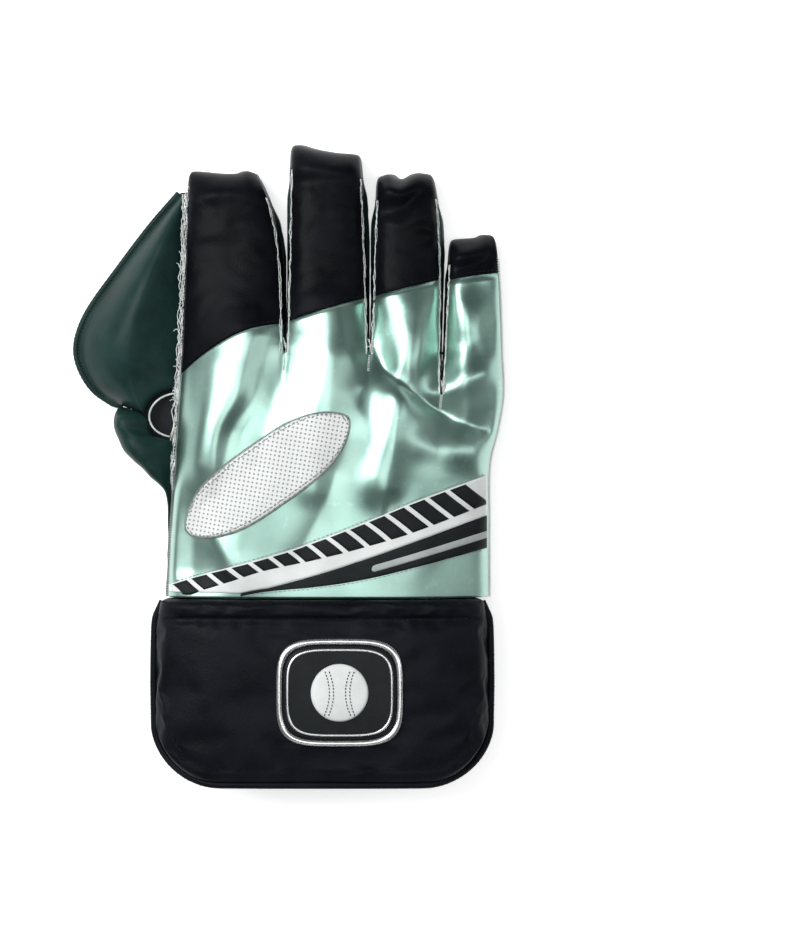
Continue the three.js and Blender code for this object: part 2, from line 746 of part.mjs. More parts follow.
// A point of a cuff pad: side +1 is the back, -1 the palm.
function cuffPoint(side, u, share, inset) {
  const angle = Math.PI * (1 - u);
  const across = Math.sign(Math.cos(angle)) * Math.pow(Math.abs(Math.cos(angle)), 2 / cuffRoundness);
  const widest = cuffMiddle + (across * cuffWidth) / 2;
  const y = lerp(-clearance, cuffHem(widest), share);
  const half = cuffHalfSection(y, inset);
  const rise = Math.pow(Math.sin(angle), 2 / cuffRoundness);
  const gap = clearance / 2;
  const height = side > 0 ? half.height : cuffHeight / 2 - inset - gap;
  const z = cuffHeight / 2 + side * (height * rise + gap);
  return new THREE.Vector3(cuffMiddle + across * half.width, y, z);
}

function cuffPadSolid(side) {
  const rows = cuffSteps.length - 1;
  const surfaceAt = (inset) => gridSurface(cuffColumns, rows, (u, v, i, j) => {
    return { at: cuffPoint(side, side > 0 ? u : 1 - u, cuffSteps[rows - j], inset) };
  });
  const outer = surfaceAt(0);
  const inner = surfaceAt(cuffPad);
  const take = (surface) => surface.points.map((point) => point.at);
  return solidBetween(outer.faces, take(outer), take(inner));
}

// The way out of the glove through the hem of a cuff pad, in plan.
function hemWay(x, y) {
  const past = Math.abs(x - cuffMiddle) - (cuffWidth / 2 - cuffCorner);
  if (past <= 0) return new THREE.Vector3(0, -1, 0);
  const down = Math.max(0, -cuffLength + cuffCorner - y);
  return new THREE.Vector3(Math.sign(x - cuffMiddle) * past, -down, 0).normalize();
}

// Round piping along the side seams and the hem of a cuff pad.
function addCuffPiping(side, name) {
  const away = cuffPipingRadius + clearance;
  const height = cuffHeight / 2 + side * away;
  const sidePoint = (sign, y) => {
    return new THREE.Vector3(cuffMiddle + sign * (cuffHalfWidth(y) + away), y, height);
  };
  const sideLength = cuffLength - cuffCorner;
  const left = [0.03, 0.35, 0.7].map((share) => sidePoint(-1, -share * sideLength));
  const right = [0.7, 0.35, 0.03].map((share) => sidePoint(1, -share * sideLength));
  const hem = [0.02, 0.1, 0.2, 0.3, 0.4, 0.5, 0.6, 0.7, 0.8, 0.9, 0.98].map((u) => {
    const point = cuffPoint(side, u, 1, cuffPad / 2);
    const way = hemWay(cuffMiddle + (point.x - cuffMiddle) * 1.04, point.y);
    const across = Math.abs(way.x);
    point.addScaledVector(way, away + (across * across * cuffPad) / 2);
    point.z = lerp(point.z, height, across * across);
    return point;
  });
  addPiece(name, roundTube([...left, ...hem, ...right], cuffPipingRadius, 44), "cuff");
}

function addCuff() {
  addPiece("cuff_back", cuffPadSolid(1), "cuff");
  addPiece("cuff_palm", cuffPadSolid(-1), "cuff");
  addCuffPiping(1, "cuff_back_piping");
  addCuffPiping(-1, "cuff_palm_piping");
}

// Trim laid on the back and the cuff

// Height of the back of the hand at a point of the plan below the slits.
function handHeight(x, y) {
  const k = slits.filter((slit) => x > slitEdge(slit, 1, y)).length;
  const left = fingerEdge(k, -1, y);
  const u = clamp((x - left) / (fingerEdge(k, 1, y) - left), 0, 1);
  return backHeight(k, u, x, y);
}

// A point that lies "lift" above a surface given by its height.
function drape(height, x, y, lift) {
  const step = 1;
  const slopeX = (height(x + step, y) - height(x - step, y)) / (2 * step);
  const slopeY = (height(x, y + step) - height(x, y - step)) / (2 * step);
  const up = new THREE.Vector3(-slopeX, -slopeY, 1).normalize();
  const at = new THREE.Vector3(x, y, height(x, y)).addScaledVector(up, lift);
  return { at, inward: up.negate() };
}

// Disc or ring of an outline given by its radius at an angle, between two shares of that radius.
function polarSurface(sides, rings, from, to, place) {
  const grid = gridSurface(sides, rings, (u, v) => place(lerp(to, from, v), u * 2 * Math.PI));
  const joined = joinSurfaces([grid]);
  joined.faces = joined.faces.filter(([a, b, c]) => a !== b && b !== c && c !== a);
  return joined;
}

const badgeOffset = 0.055 * cuffWidth;
const badgeAlong = 0.503;
const badgeRoundness = 4;

// Point of the badge's outline at an angle, at a share of its size.
function badgePlan(share, angle, margin) {
  const power = 2 / badgeRoundness;
  const c = Math.cos(angle);
  const s = Math.sin(angle);
  const x = Math.sign(c) * Math.pow(Math.abs(c), power) * (badgeWidth / 2 - margin);
  const y = Math.sign(s) * Math.pow(Math.abs(s), power) * (badgeHeight / 2 - margin);
  return [cuffMiddle + badgeOffset + share * x, share * y - badgeAlong * cuffLength];
}

function addBadge() {
  const lift = clearance + trim;
  const plateMargin = badgeRimWidth + clearance;
  const onCuff = (margin, height) => (share, angle) => {
    const [x, y] = badgePlan(share, angle, margin);
    return drape(cuffTopHeight, x, y, height);
  };
  const rimProud = 1.2;
  const rim = polarSurface(28, 1, 0, 1, (share, angle) => {
    return onCuff(badgeRimWidth * (1 - share), lift + rimProud)(1, angle);
  });
  addPiece("badge_rim", wall(rim, trim + rimProud), "rim");
  const plate = polarSurface(28, 2, 0, 1, onCuff(plateMargin, lift));
  addPiece("badge_plate", wall(plate, trim), "dark");
  const boss = polarSurface(20, 2, 0, 1, (share, angle) => {
    const x = cuffMiddle + badgeOffset + share * badgeBossRadius * Math.cos(angle);
    const y = share * badgeBossRadius * Math.sin(angle) - badgeAlong * cuffLength;
    return drape(cuffTopHeight, x, y, lift + clearance + trim + 0.8 * (1 - share * share));
  });
  addPiece("badge_boss", wall(boss, trim), "light");
}

const patchAlong = 0.505;
const patchAcross = -0.06;

function addPatch() {
  const turn = degToRad(patchTilt);
  const surface = gridSurface(12, 4, (u, v) => {
    const s = 2 * u - 1;
    const half = (patchWidth / 2) * Math.pow(1.02 - Math.pow(Math.abs(s), 3), 0.7);
    const plan = new THREE.Vector2((s * patchLength) / 2, (2 * v - 1) * half);
    plan.rotateAround(new THREE.Vector2(), turn);
    const x = plan.x + patchAcross * handWidth;
    return drape(handHeight, x, plan.y + patchAlong * palmLength, drapeClearance + clearance + trim);
  });
  addPiece("vent_patch", wall(surface, trim), "light");
}

// Lines of the striped band across the back, as shares of handWidth from x = 0 (along) and of
// palmLength: upper edge of the blocks, the light stripe, the dark stripe, and the dark stripe's foot.
const bandRows = [
  { along: -0.37, top: 0.053, light: -0.02, dark: -0.07, foot: -0.075 },
  { along: -0.203, top: 0.119, light: 0.053, dark: -0.005, foot: -0.01 },
  { along: -0.076, top: 0.165, light: 0.109, dark: 0.04, foot: 0.028 },
  { along: 0.085, top: 0.234, light: 0.155, dark: 0.098, foot: 0.049 },
  { along: 0.23, top: 0.308, light: 0.205, dark: 0.16, foot: 0.078 },
  { along: 0.378, top: 0.39, light: 0.264, dark: 0.229, foot: 0.124 },
  { along: 0.61, top: 0.505, light: 0.382, dark: 0.341, foot: 0.205 },
];
const bandMargin = 6;

function bandLine(line, x) {
  return Math.max(palmLength * follow(bandRows, x / handWidth, line), 4 * clearance);
}

// A strip of the band from one x to another, between two of its lines.
function bandStrip(fromX, toX, columns, rows, lower, upper, lift, thickness) {
  const surface = gridSurface(columns, rows, (u, v) => {
    const x = lerp(fromX, toX, u);
    return drape(handHeight, x, lerp(lower(x), upper(x), v), lift + thickness);
  });
  return wall(surface, thickness);
}

function addBand() {
  const leftEnd = handEdge("left", 0) + bandMargin;
  const rightEnd = handEdge("right", 0.3 * palmLength) - bandMargin;
  const line = (name) => (x) => bandLine(name, x);
  const lowDark = line("foot");
  const highDark = (x) => Math.max(bandLine("dark", x) - clearance, lowDark(x) + 2 * trim);
  const lowLight = (x) => highDark(x) + clearance;
  const light = bandStrip(leftEnd, rightEnd, 28, 3, lowLight, line("top"), drapeClearance, trim);
  addPiece("band_light", light, "light");
  const darkStart = -0.14 * handWidth;
  const dark = bandStrip(darkStart, rightEnd, 24, 2, lowDark, highDark, drapeClearance, trim);
  addPiece("band_dark", dark, "dark");
  const greyStart = 0.26 * handWidth;
  const greyMiddle = (x) => lerp(bandLine("foot", x), bandLine("dark", x), 0.42);
  const lift = drapeClearance + trim + seamClearance;
  const low = (x) => greyMiddle(x) - greyLineWidth / 2;
  const high = (x) => greyMiddle(x) + greyLineWidth / 2;
  addPiece("band_line", bandStrip(greyStart, rightEnd, 14, 1, low, high, lift, trim), "grey");
  const pitch = (rightEnd - leftEnd) / bandBlocks;
  for (let k = 0; k < bandBlocks; k++) {
    const surface = gridSurface(2, 2, (u, v) => {
      const along = leftEnd + pitch * k + (pitch - blockGap) * u + blockGap / 2;
      const height = bandLine("top", along) - bandLine("light", along);
      const x = Math.max(along + blockSlant * height * (0.5 - v), leftEnd + blockGap / 2);
      const edge = blockGap / 3;
      const y = lerp(bandLine("light", x) + edge, bandLine("top", x) - edge, v);
      return drape(handHeight, Math.min(x, rightEnd - blockGap / 2), y, lift + trim);
    });
    addPiece(`band_block_${String(k + 1).padStart(2, "0")}`, wall(surface, trim), "dark");
  }
}

addBack();
addSideStrips();
addThumb();
addWeb();
addPalm();
addCuff();
addBadge();
addPatch();
addBand();

const box = new THREE.Box3().setFromObject(group);
const middle = box.getCenter(new THREE.Vector3());
group.position.set(-middle.x, -middle.y, -box.min.z);

export default group;
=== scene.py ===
# Looks of a right-hand wicketkeeping glove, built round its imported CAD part.
# Shapes are worked out in millimetres in the part source's own layout: y = 0 is the seam between
# hand and cuff, x = 0 the slit between index and middle finger. to_frame() turns them into metres.

import math

import bmesh
import bpy
import numpy as np
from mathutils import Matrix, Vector
from mathutils.bvhtree import BVHTree


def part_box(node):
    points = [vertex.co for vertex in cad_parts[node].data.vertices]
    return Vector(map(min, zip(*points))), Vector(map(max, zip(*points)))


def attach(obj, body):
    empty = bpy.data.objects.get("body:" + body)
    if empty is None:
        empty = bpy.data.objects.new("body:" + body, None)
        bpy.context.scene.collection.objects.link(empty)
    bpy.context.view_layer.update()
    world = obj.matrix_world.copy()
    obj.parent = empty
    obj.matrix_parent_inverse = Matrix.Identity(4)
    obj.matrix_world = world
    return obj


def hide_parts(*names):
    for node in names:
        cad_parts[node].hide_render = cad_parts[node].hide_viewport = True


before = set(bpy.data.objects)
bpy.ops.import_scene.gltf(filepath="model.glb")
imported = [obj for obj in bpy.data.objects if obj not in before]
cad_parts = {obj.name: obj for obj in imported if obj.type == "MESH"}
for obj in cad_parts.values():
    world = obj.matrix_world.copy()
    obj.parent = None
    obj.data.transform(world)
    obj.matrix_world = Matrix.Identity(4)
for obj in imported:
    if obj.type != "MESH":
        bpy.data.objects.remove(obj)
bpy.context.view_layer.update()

# Sizes of the part, in millimetres
HAND_WIDTH = 172.0
PALM_LENGTH = 129.0
FINGER_LENGTH = 112.0
SLIT_WIDTH = 5.0
WRIST_HEIGHT = 44.0
KNUCKLE_HEIGHT = 47.0
FINGER_HEIGHT = 30.0
SIDE_SEAM_HEIGHT = 16.0
CROTCH_HEIGHT = 36.0
TIP_SEAM_HEIGHT = 6.5
TIP_RADIUS = 15.0
TIP_CORNER = 7.0
LEATHER = 1.8
RUBBER = 3.0
TRIM = 0.8
CLEARANCE = 0.35
SEAM_CLEARANCE = 0.6
DRAPE_CLEARANCE = 0.95
FOLD_DEPTH = 5.0
THUMB_REACH = 31.0
THUMB_HEIGHT = 29.0
WEB_REACH = 55.0
WEB_LENGTH = 114.0
WEB_RISE = 9.0
WEB_SEAM_HEIGHT = 12.0
WEB_TOP_HEIGHT = 8.0
ARMHOLE_WIDTH = 17.0
ARMHOLE_LENGTH = 29.0
ARMHOLE_RIM_HEIGHT = 20.0
BINDING_RADIUS = 1.6
FLOOR_SKIN = 0.3
CUFF_LENGTH = 96.0
CUFF_WIDTH = 176.0
CUFF_HEIGHT = 53.0
CUFF_PAD = 8.0
CUFF_CORNER = 30.0
CUFF_PIPING_RADIUS = 1.7
BADGE_WIDTH = 66.0
BADGE_HEIGHT = 56.0
BADGE_RIM_WIDTH = 3.0
BADGE_BOSS_RADIUS = 15.0
PATCH_LENGTH = 104.0
PATCH_WIDTH = 34.0
PATCH_TILT = 35.0
BAND_BLOCKS = 15
BLOCK_GAP = 2.6
BLOCK_SLANT = 0.8
BLOCK_CELLS = (11, 13)
GREY_LINE_WIDTH = 3.6
ROUNDNESS = 2.6
CUFF_ROUNDNESS = 3.2

CUFF_MIDDLE = 0.107 * HAND_WIDTH
SEAM_DIP = 0.16 * PALM_LENGTH
SLIT_CURVE = 1.1
INSET_CURVE = 4

cuff_low, cuff_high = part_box("cuff_back")
OFFSET = np.array([
    (cuff_low[0] + cuff_high[0]) / 2 - CUFF_MIDDLE / 1000,
    cuff_high[1] + CLEARANCE / 1000,
    0.0,
])


def to_frame(points):
    """Points in the source's millimetres, as metres in the frame."""
    return np.asarray(points, float) / 1000 + OFFSET


# Tables and smooth curves through them


def table(columns, *rows):
    return {name: np.array([row[k] for row in rows], float) for k, name in enumerate(columns.split())}


def follow(rows, along, column):
    """Smooth value of one column of a table at each place along it."""
    xs, ys = rows["along"], rows[column]
    along = np.clip(np.asarray(along, float), xs[0], xs[-1])
    k = np.clip(np.searchsorted(xs, along, side="right") - 1, 0, len(xs) - 2)
    slopes = np.empty(len(xs))
    slopes[1:-1] = (ys[2:] - ys[:-2]) / (xs[2:] - xs[:-2])
    slopes[0] = (ys[1] - ys[0]) / (xs[1] - xs[0])
    slopes[-1] = (ys[-1] - ys[-2]) / (xs[-1] - xs[-2])
    span = xs[k + 1] - xs[k]
    t = (along - xs[k]) / span
    t2, t3 = t * t, t * t * t
    return (
        (2 * t3 - 3 * t2 + 1) * ys[k]
        + (t3 - 2 * t2 + t) * span * slopes[k]
        + (3 * t2 - 2 * t3) * ys[k + 1]
        + (t3 - t2) * span * slopes[k + 1]
    )


def lerp(a, b, t):
    return a + (b - a) * t


def smoothstep(value, low, high):
    t = np.clip((value - low) / (high - low), 0, 1)
    return t * t * (3 - 2 * t)


def lattice(ix, iy, seed):
    value = np.sin(ix * 127.1 + iy * 311.7 + seed * 74.7) * 43758.5453
    return value - np.floor(value)


def noise(x, y, seed):
    """Smooth gradient noise, about -1 to 1."""
    ix, iy = np.floor(x), np.floor(y)
    fx, fy = x - ix, y - iy

    def corner(dx, dy):
        angle = 2 * np.pi * lattice(ix + dx, iy + dy, seed)
        return np.cos(angle) * (fx - dx) + np.sin(angle) * (fy - dy)

    sx = fx * fx * fx * (fx * (fx * 6 - 15) + 10)
    sy = fy * fy * fy * (fy * (fy * 6 - 15) + 10)
    return 1.5 * lerp(lerp(corner(0, 0), corner(1, 0), sx), lerp(corner(0, 1), corner(1, 1), sx), sy)


def billow(x, y, seed):
    """Round swellings between sharp creases, about -0.3 to 0.7."""
    value = noise(x, y, seed)
    return np.sqrt(value * value + 0.004) - 0.33


# Plan of the hand

HAND_EDGES = table(
    "along left right",
    (0, -0.377, 0.624),
    (0.3, -0.366, 0.624),
    (0.55, -0.355, 0.626),
    (0.7, -0.349, 0.652),
    (0.84, -0.342, 0.668),
    (1, -0.334, 0.664),
    (1.4, -0.322, 0.655),
    (1.8, -0.31, 0.648),
)
SLITS = [
    {"start": 1, "at_cuff": -0.047, "at_start": -0.006, "at_tip": -0.008, "opening": 0.9},
    {"start": 1, "at_cuff": 0.203, "at_start": 0.253, "at_tip": 0.254, "opening": 1.5},
    {"start": 0.835, "at_cuff": 0.424, "at_start": 0.474, "at_tip": 0.494, "opening": 0.9},
]
FINGERS = [
    {"name": "index", "reach": 0.855, "lean": 0.012, "inset": 0.07, "left": -0.1, "right": 0.145},
    {"name": "middle", "reach": 0.97, "lean": 0.04, "inset": 0.006, "left": 0.155, "right": 0.275},
    {"name": "ring", "reach": 0.86, "lean": -0.01, "inset": 0.03, "left": 0.275, "right": 0.36},
    {"name": "little", "reach": 0.58, "lean": -0.02, "inset": 0.012, "left": 0.355, "right": 0.395},
]
LONGEST_FINGER = 0.97 * FINGER_LENGTH
LAST_FINGER = len(FINGERS) - 1


def finger_reach(k):
    return PALM_LENGTH + FINGERS[k]["reach"] * FINGER_LENGTH


def hand_edge(side, y):
    return HAND_WIDTH * follow(HAND_EDGES, np.asarray(y) / PALM_LENGTH, side)


def slit_edge(k, side, y):
    slit = SLITS[k]
    y = np.asarray(y, float)
    start = slit["start"] * PALM_LENGTH
    below = HAND_WIDTH * lerp(slit["at_cuff"], slit["at_start"], y / start)
    share = np.clip((y - start) / LONGEST_FINGER, 0, 2)
    opening = slit["opening"] * SLIT_WIDTH * share**SLIT_CURVE
    above = HAND_WIDTH * lerp(slit["at_start"], slit["at_tip"], share) + side * opening / 2
    return np.where(y <= start, below, above)


def finger_edge(k, side, y):
    if side < 0:
        return hand_edge("left", y) if k == 0 else slit_edge(k - 1, 1, y)
    return hand_edge("right", y) if k == LAST_FINGER else slit_edge(k, -1, y)


# Height of the back

CROWN = table(
    "along height",
    (0, WRIST_HEIGHT),
    (0.35, lerp(WRIST_HEIGHT, KNUCKLE_HEIGHT, 0.7)),
    (0.8, KNUCKLE_HEIGHT),
    (1.05, lerp(KNUCKLE_HEIGHT, FINGER_HEIGHT, 0.25)),
    (1.35, lerp(KNUCKLE_HEIGHT, FINGER_HEIGHT, 0.8)),
    (1.8, FINGER_HEIGHT),
)
# Main folds: from and to as shares of hand width and palm length, half width, height
FOLDS = [
    (0.27, 0.97, 0.5, 0.72, 0.042, -0.25),
    (0.5, 0.72, 0.6, 0.62, 0.038, -0.2),
    (-0.01, 0.98, -0.09, 0.55, 0.05, -0.25),
    (-0.15, 1.0, -0.2, 0.5, 0.045, -0.1),
    (-0.22, 0.95, -0.27, 0.55, 0.045, 0.3),
    (0.13, 0.98, 0.08, 0.45, 0.05, 0.3),
    (0.4, 1.05, 0.28, 0.5, 0.05, 0.2),
]
RIDGE_POWER = 2.0
VALLEY_POWER = 1.35
# Finer folds of the leather, in millimetres: half widths to the left and right, height, points
CREASES = (
    (14.0, 6.0, 3.6, ((-17.8, 139.4), (-26.2, 115.5), (-35.8, 89.0), (-42.7, 59.9))),
    (10.0, 14.0, -1.6, ((-8.2, 136.7), (-15.6, 112.9), (-24.1, 86.4))),
    (
        5.5, 17.0, -4.4,
        ((37.9, 160.0), (42.7, 137.8), (52.2, 121.9), (69.2, 107.6), (88.8, 95.4), (106.3, 89.0)),
    ),
    (12.0, 7.0, 3.4, ((59.6, 104.9), (57.5, 83.7), (53.3, 58.3))),
    (8.0, 8.0, -2.2, ((79.8, 129.3), (94.6, 135.7), (109.4, 146.3))),
    (6.0, 6.0, 2.2, ((79.8, 107.6), (94.6, 115.0), (109.4, 121.9))),
    (8.0, 9.0, 1.6, ((71.3, 80.5), (88.8, 77.4), (108.4, 75.2))),
    (11.0, 13.0, -4.6, ((-47.4, 54.6), (-50.6, 33.4), (-52.2, 4.2))),
    (5.0, 7.0, 1.6, ((-39.0, 33.4), (-31.5, 19.1), (-27.3, 9.5))),
    (9.0, 14.0, -2.0, ((25.2, 66.8), (16.2, 41.3), (6.6, 21.2))),
    (9.0, 9.0, 1.4, ((6.6, 131.4), (2.4, 109.2))),
    (8.0, 10.0, 1.8, ((87.2, 168.5), (98.8, 142.0))),
    (14.0, 6.0, 1.8, ((67.0, 157.9), (69.2, 131.4))),
    (12.0, 5.0, 2.2, ((25.2, 157.9), (28.9, 134.1), (36.3, 113.4))),
)


def line_fold(x, y, halves, height, points):
    """Height of a fold along a line: ridges are round and valleys are sharp at the bottom."""
    aways, sides = [], []
    for (x0, y0), (x1, y1) in zip(points, points[1:]):
        way_x, way_y = x1 - x0, y1 - y0
        length = math.hypot(way_x, way_y)
        t = np.clip(((x - x0) * way_x + (y - y0) * way_y) / length**2, 0, 1)
        aways.append(np.hypot(x - x0 - t * way_x, y - y0 - t * way_y))
        sides.append((way_x * (y - y0) - way_y * (x - x0)) / length)
    nearest = np.minimum.reduce(aways)
    weights = [np.exp((nearest - away) / 2) for away in aways]
    side = sum(w * one for w, one in zip(weights, sides)) / sum(weights)
    half = lerp(halves[0], halves[1], smoothstep(side, -3, 3))
    power = RIDGE_POWER if height > 0 else VALLEY_POWER
    return height * np.exp(-((nearest / half) ** power))


def fold_height(x, y):
    height = np.zeros(np.broadcast(x, y).shape)
    for x0, y0, x1, y1, half, share in FOLDS:
        ends = ((x0 * HAND_WIDTH, y0 * PALM_LENGTH), (x1 * HAND_WIDTH, y1 * PALM_LENGTH))
        height = height + line_fold(x, y, (half * HAND_WIDTH,) * 2, share * FOLD_DEPTH, ends)
    return height


def arch_height(x, y):
    left, right = hand_edge("left", y), hand_edge("right", y)
    across = np.clip(2 * (x - left) / (right - left) - 1, -1, 1)
    top = follow(CROWN, np.asarray(y) / PALM_LENGTH, "height")
    arch = (1 - np.abs(across) ** ROUNDNESS) ** (1 / ROUNDNESS)
    away = np.minimum(1, 6 * (1 - np.abs(across)))
    return SIDE_SEAM_HEIGHT + (top - SIDE_SEAM_HEIGHT) * arch + fold_height(x, y) * away


def slit_dip(k, x, y):
    start = SLITS[k]["start"] * PALM_LENGTH
    full = arch_height(x, np.full_like(np.asarray(y, float), start)) - CROTCH_HEIGHT
    below = full * smoothstep(y, start - 0.35 * PALM_LENGTH, start)
    fall = smoothstep(y, start, start + 0.45 * FINGER_LENGTH)
    above = lerp(full, arch_height(x, y) - SIDE_SEAM_HEIGHT, fall)
    return np.where(np.asarray(y) <= start, below, above)


def back_height(k, u, x, y):
    left_dip = 0 if k == 0 else slit_dip(k - 1, finger_edge(k, -1, y), y)
    right_dip = 0 if k == LAST_FINGER else slit_dip(k, finger_edge(k, 1, y), y)
    across = np.abs(2 * u - 1)
    soft = 0.5 - 0.5 * np.cos(2 * np.pi * u)
    hard = (1 - across**ROUNDNESS) ** (1 / ROUNDNESS)
    bump = lerp(soft, hard, smoothstep(y, 0.8 * PALM_LENGTH, 1.25 * PALM_LENGTH))
    return arch_height(x, y) - lerp(left_dip, right_dip, u) * (1 - bump)


def leather_detail(x, y):
    """Folds and crumples of the soft back that are finer than the part's own."""
    x, y = np.asarray(x, float), np.asarray(y, float)
    warp = 0.5 * noise(x / 34, y / 34, 5)
    hand = 1 - smoothstep(y, 128, 165)
    long_folds = 0.6 * noise(x / 30 + warp, y / 80 + 0.3 * warp, 1)
    middle_folds = 0.15 * noise(x / 15 + warp, y / 30, 2)
    fine = 0.03 * billow(x / 3.6, y / 4.4, 3)
    sway_x, sway_y = 2.2 * noise(x / 36, y / 30, 8), 2.2 * noise(x / 30, y / 36, 9)
    creases = sum(
        line_fold(x + sway_x, y + sway_y, (left, right), height, points)
        for left, right, height, points in CREASES
    )
    finger_folds = 0.6 * billow(x / 14, y / 11, 4) + 0.12 * billow(x / 5, y / 3.6, 7)
    total = hand * (long_folds + middle_folds) + creases * (1 - smoothstep(y, 150, 172))
    total = total + (1 - hand) * finger_folds + fine
    left, right = hand_edge("left", y), hand_edge("right", y)
    fade = smoothstep(x - left, 0, 9) * smoothstep(right - x, 0, 10)
    return total * fade * smoothstep(y, 0, 16)


# Uneven ends of the fingers: reach beyond the part's, then share across, half width, height of each bump
TIP_WAVES = (
    (2.5, (0.86, 0.10, 1.4), (0.5, 0.3, -0.7)),
    (0.0, (0.05, 0.15, 0.7), (0.62, 0.25, -0.8)),
    (1.6, (0.16, 0.12, 1.0), (0.42, 0.14, -2.0), (0.78, 0.16, 0.9)),
    (0.3, (0.5, 0.3, -0.5), (0.85, 0.12, 0.5)),
)


def tip_y(k, u):
    more, *bumps = TIP_WAVES[k]
    for across, half, height in bumps:
        more = more + height * np.exp(-(((u - across) / half) ** 2))
    return finger_reach(k) + FINGERS[k]["lean"] * FINGER_LENGTH * (1 - u) + more


def turn_y(k, u, turn):
    return tip_y(k, u) - TIP_RADIUS + TIP_RADIUS * np.sin(turn * np.pi / 2)


def palm_row_y(k, u, share):
    dip = SEAM_DIP * share**3 * (1 - u) ** 2 if k == 0 else 0
    return share * PALM_LENGTH - dip


def seam_y(k, u):
    bend = 1 - (1 - u) ** 2 if k == 0 else u
    return PALM_LENGTH + FINGER_LENGTH * lerp(FINGERS[k]["left"], FINGERS[k]["right"], bend)


# Crumples of the fingertips, in millimetres: finger, y back from the tip, share across, size, height
TIP_FOLDS = [
    (0, 14, 0.3, 6, 1.6),
    (0, 22, 0.75, 5, -1.6),
    (0, 30, 0.35, 7, 1.0),
    (1, 10, 0.7, 6, 1.4),
    (1, 20, 0.25, 5, -1.6),
    (1, 34, 0.7, 6, 1.0),
    (2, 8, 0.35, 4, 2.2),
    (2, 14, 0.62, 3.5, -2.6),
    (2, 21, 0.3, 4, -1.9),
    (2, 24, 0.75, 5, 1.6),
    (3, 9, 0.4, 4, 1.8),
    (3, 16, 0.55, 4, -2.2),
    (3, 22, 0.4, 4, 1.0),
]


def finger_detail(k, u, y):
    """Puckers along the seams of a finger and the crumples of its tip."""
    width = finger_edge(k, 1, y) - finger_edge(k, -1, y)
    above = smoothstep(y, PALM_LENGTH - 6, PALM_LENGTH + 14)
    from_seam = np.minimum(u, 1 - u) * width
    wave = np.sin(y / 0.95 + 2.2 * noise(y / 9, u * 2, 11 + k)) * (0.6 + noise(y / 7, u, 13 + k))
    pucker = 0.4 * wave * np.exp(-from_seam / 3.2) * above * (1 - smoothstep(-from_seam, -0.9, 0))
    folds = 0
    for finger, back, across, size, height in TIP_FOLDS:
        if finger == k:
            gap = (tip_y(k, u) - back - y) / size
            tilt = (u - across) * width / (2.6 * size)
            folds = folds + height * np.exp(-((gap + 0.7 * tilt) ** 2) - tilt**2 * 0.6)
    return pucker + folds * smoothstep(from_seam, 0, 5)


def back_point(k, u, y, turn=0.0):
    """Points of the back leather of a finger, u across it and turn over its tip."""
    u, y, turn = np.broadcast_arrays(np.asarray(u, float), np.asarray(y, float), np.asarray(turn, float))
    reach = finger_reach(k)
    past = np.clip((y - PALM_LENGTH) / (reach - PALM_LENGTH), 0, 1)
    inset = FINGERS[k]["inset"] * HAND_WIDTH * past**INSET_CURVE
    corner = TIP_CORNER * (1 - np.sqrt(1 - turn**4 * 0.96))
    left = finger_edge(k, -1, y) + corner
    right = finger_edge(k, 1, y) - inset - corner
    x = lerp(left, right, u)
    flat = back_height(k, u, x, y) + leather_detail(x, y) + finger_detail(k, u, y)
    z = TIP_SEAM_HEIGHT + (flat - TIP_SEAM_HEIGHT) * np.cos(turn * np.pi / 2)
    return np.stack([x, y, z], axis=-1)


def hand_height(x, y):
    """Height of the back leather at points of the plan below the slits."""
    x, y = np.broadcast_arrays(np.asarray(x, float), np.asarray(y, float))
    out = np.zeros(x.shape)
    for k in range(len(FINGERS)):
        left, right = finger_edge(k, -1, y), finger_edge(k, 1, y)
        inside = np.ones(x.shape, bool)
        if k > 0:
            inside &= x > left
        if k < LAST_FINGER:
            inside &= x <= right
        u = np.clip((x - left) / (right - left), 0, 1)
        out = np.where(inside, back_height(k, u, x, y), out)
    return out + leather_detail(x, y)


# Meshes


def make_object(name, vertices, faces, material, smooth=True):
    mesh = bpy.data.meshes.new(name)
    mesh.from_pydata([tuple(v) for v in vertices], [], [tuple(int(i) for i in f) for f in faces])
    mesh.materials.append(material)
    mesh.polygons.foreach_set("use_smooth", [smooth] * len(mesh.polygons))
    mesh.update()
    piece = bpy.data.objects.new(name, mesh)
    bpy.context.scene.collection.objects.link(piece)
    return piece


def finish_piece(piece, slot, *nodes):
    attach(piece, "root")
    if nodes:
        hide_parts(*nodes)
    return piece


def grid_faces(rows, columns, start=0, flip=False):
    faces = []
    for j in range(rows - 1):
        for i in range(columns - 1):
            a = start + j * columns + i
            quad = (a, a + 1, a + columns + 1, a + columns)
            faces.append(quad[::-1] if flip else quad)
    return faces


def grid_normals(points):
    """Unit normals of a grid of points; they point up for a grid that runs right and away."""
    across = np.gradient(points, axis=1)
    along = np.gradient(points, axis=0)
    normal = np.cross(across, along)
    size = np.linalg.norm(normal, axis=-1, keepdims=True)
    return normal / np.maximum(size, 1e-9)


def shell_part(outer, inner):
    """Vertices and faces of a closed solid between two grids of points."""
    rows, columns = outer.shape[:2]
    count = rows * columns
    vertices = np.concatenate([outer.reshape(-1, 3), inner.reshape(-1, 3)])
    faces = grid_faces(rows, columns) + grid_faces(rows, columns, count, flip=True)
    border = [(0, i) for i in range(columns - 1)]
    border += [(j, columns - 1) for j in range(rows - 1)]
    border += [(rows - 1, i) for i in range(columns - 1, 0, -1)]
    border += [(j, 0) for j in range(rows - 1, 0, -1)]
    ring = [j * columns + i for j, i in border]
    for a, b in zip(ring, ring[1:] + ring[:1]):
        faces.append((b, a, a + count, b + count))
    return vertices, faces


def shell(name, outer, inner, material):
    vertices, faces = shell_part(outer, inner)
    return make_object(name, to_frame(vertices), faces, material)


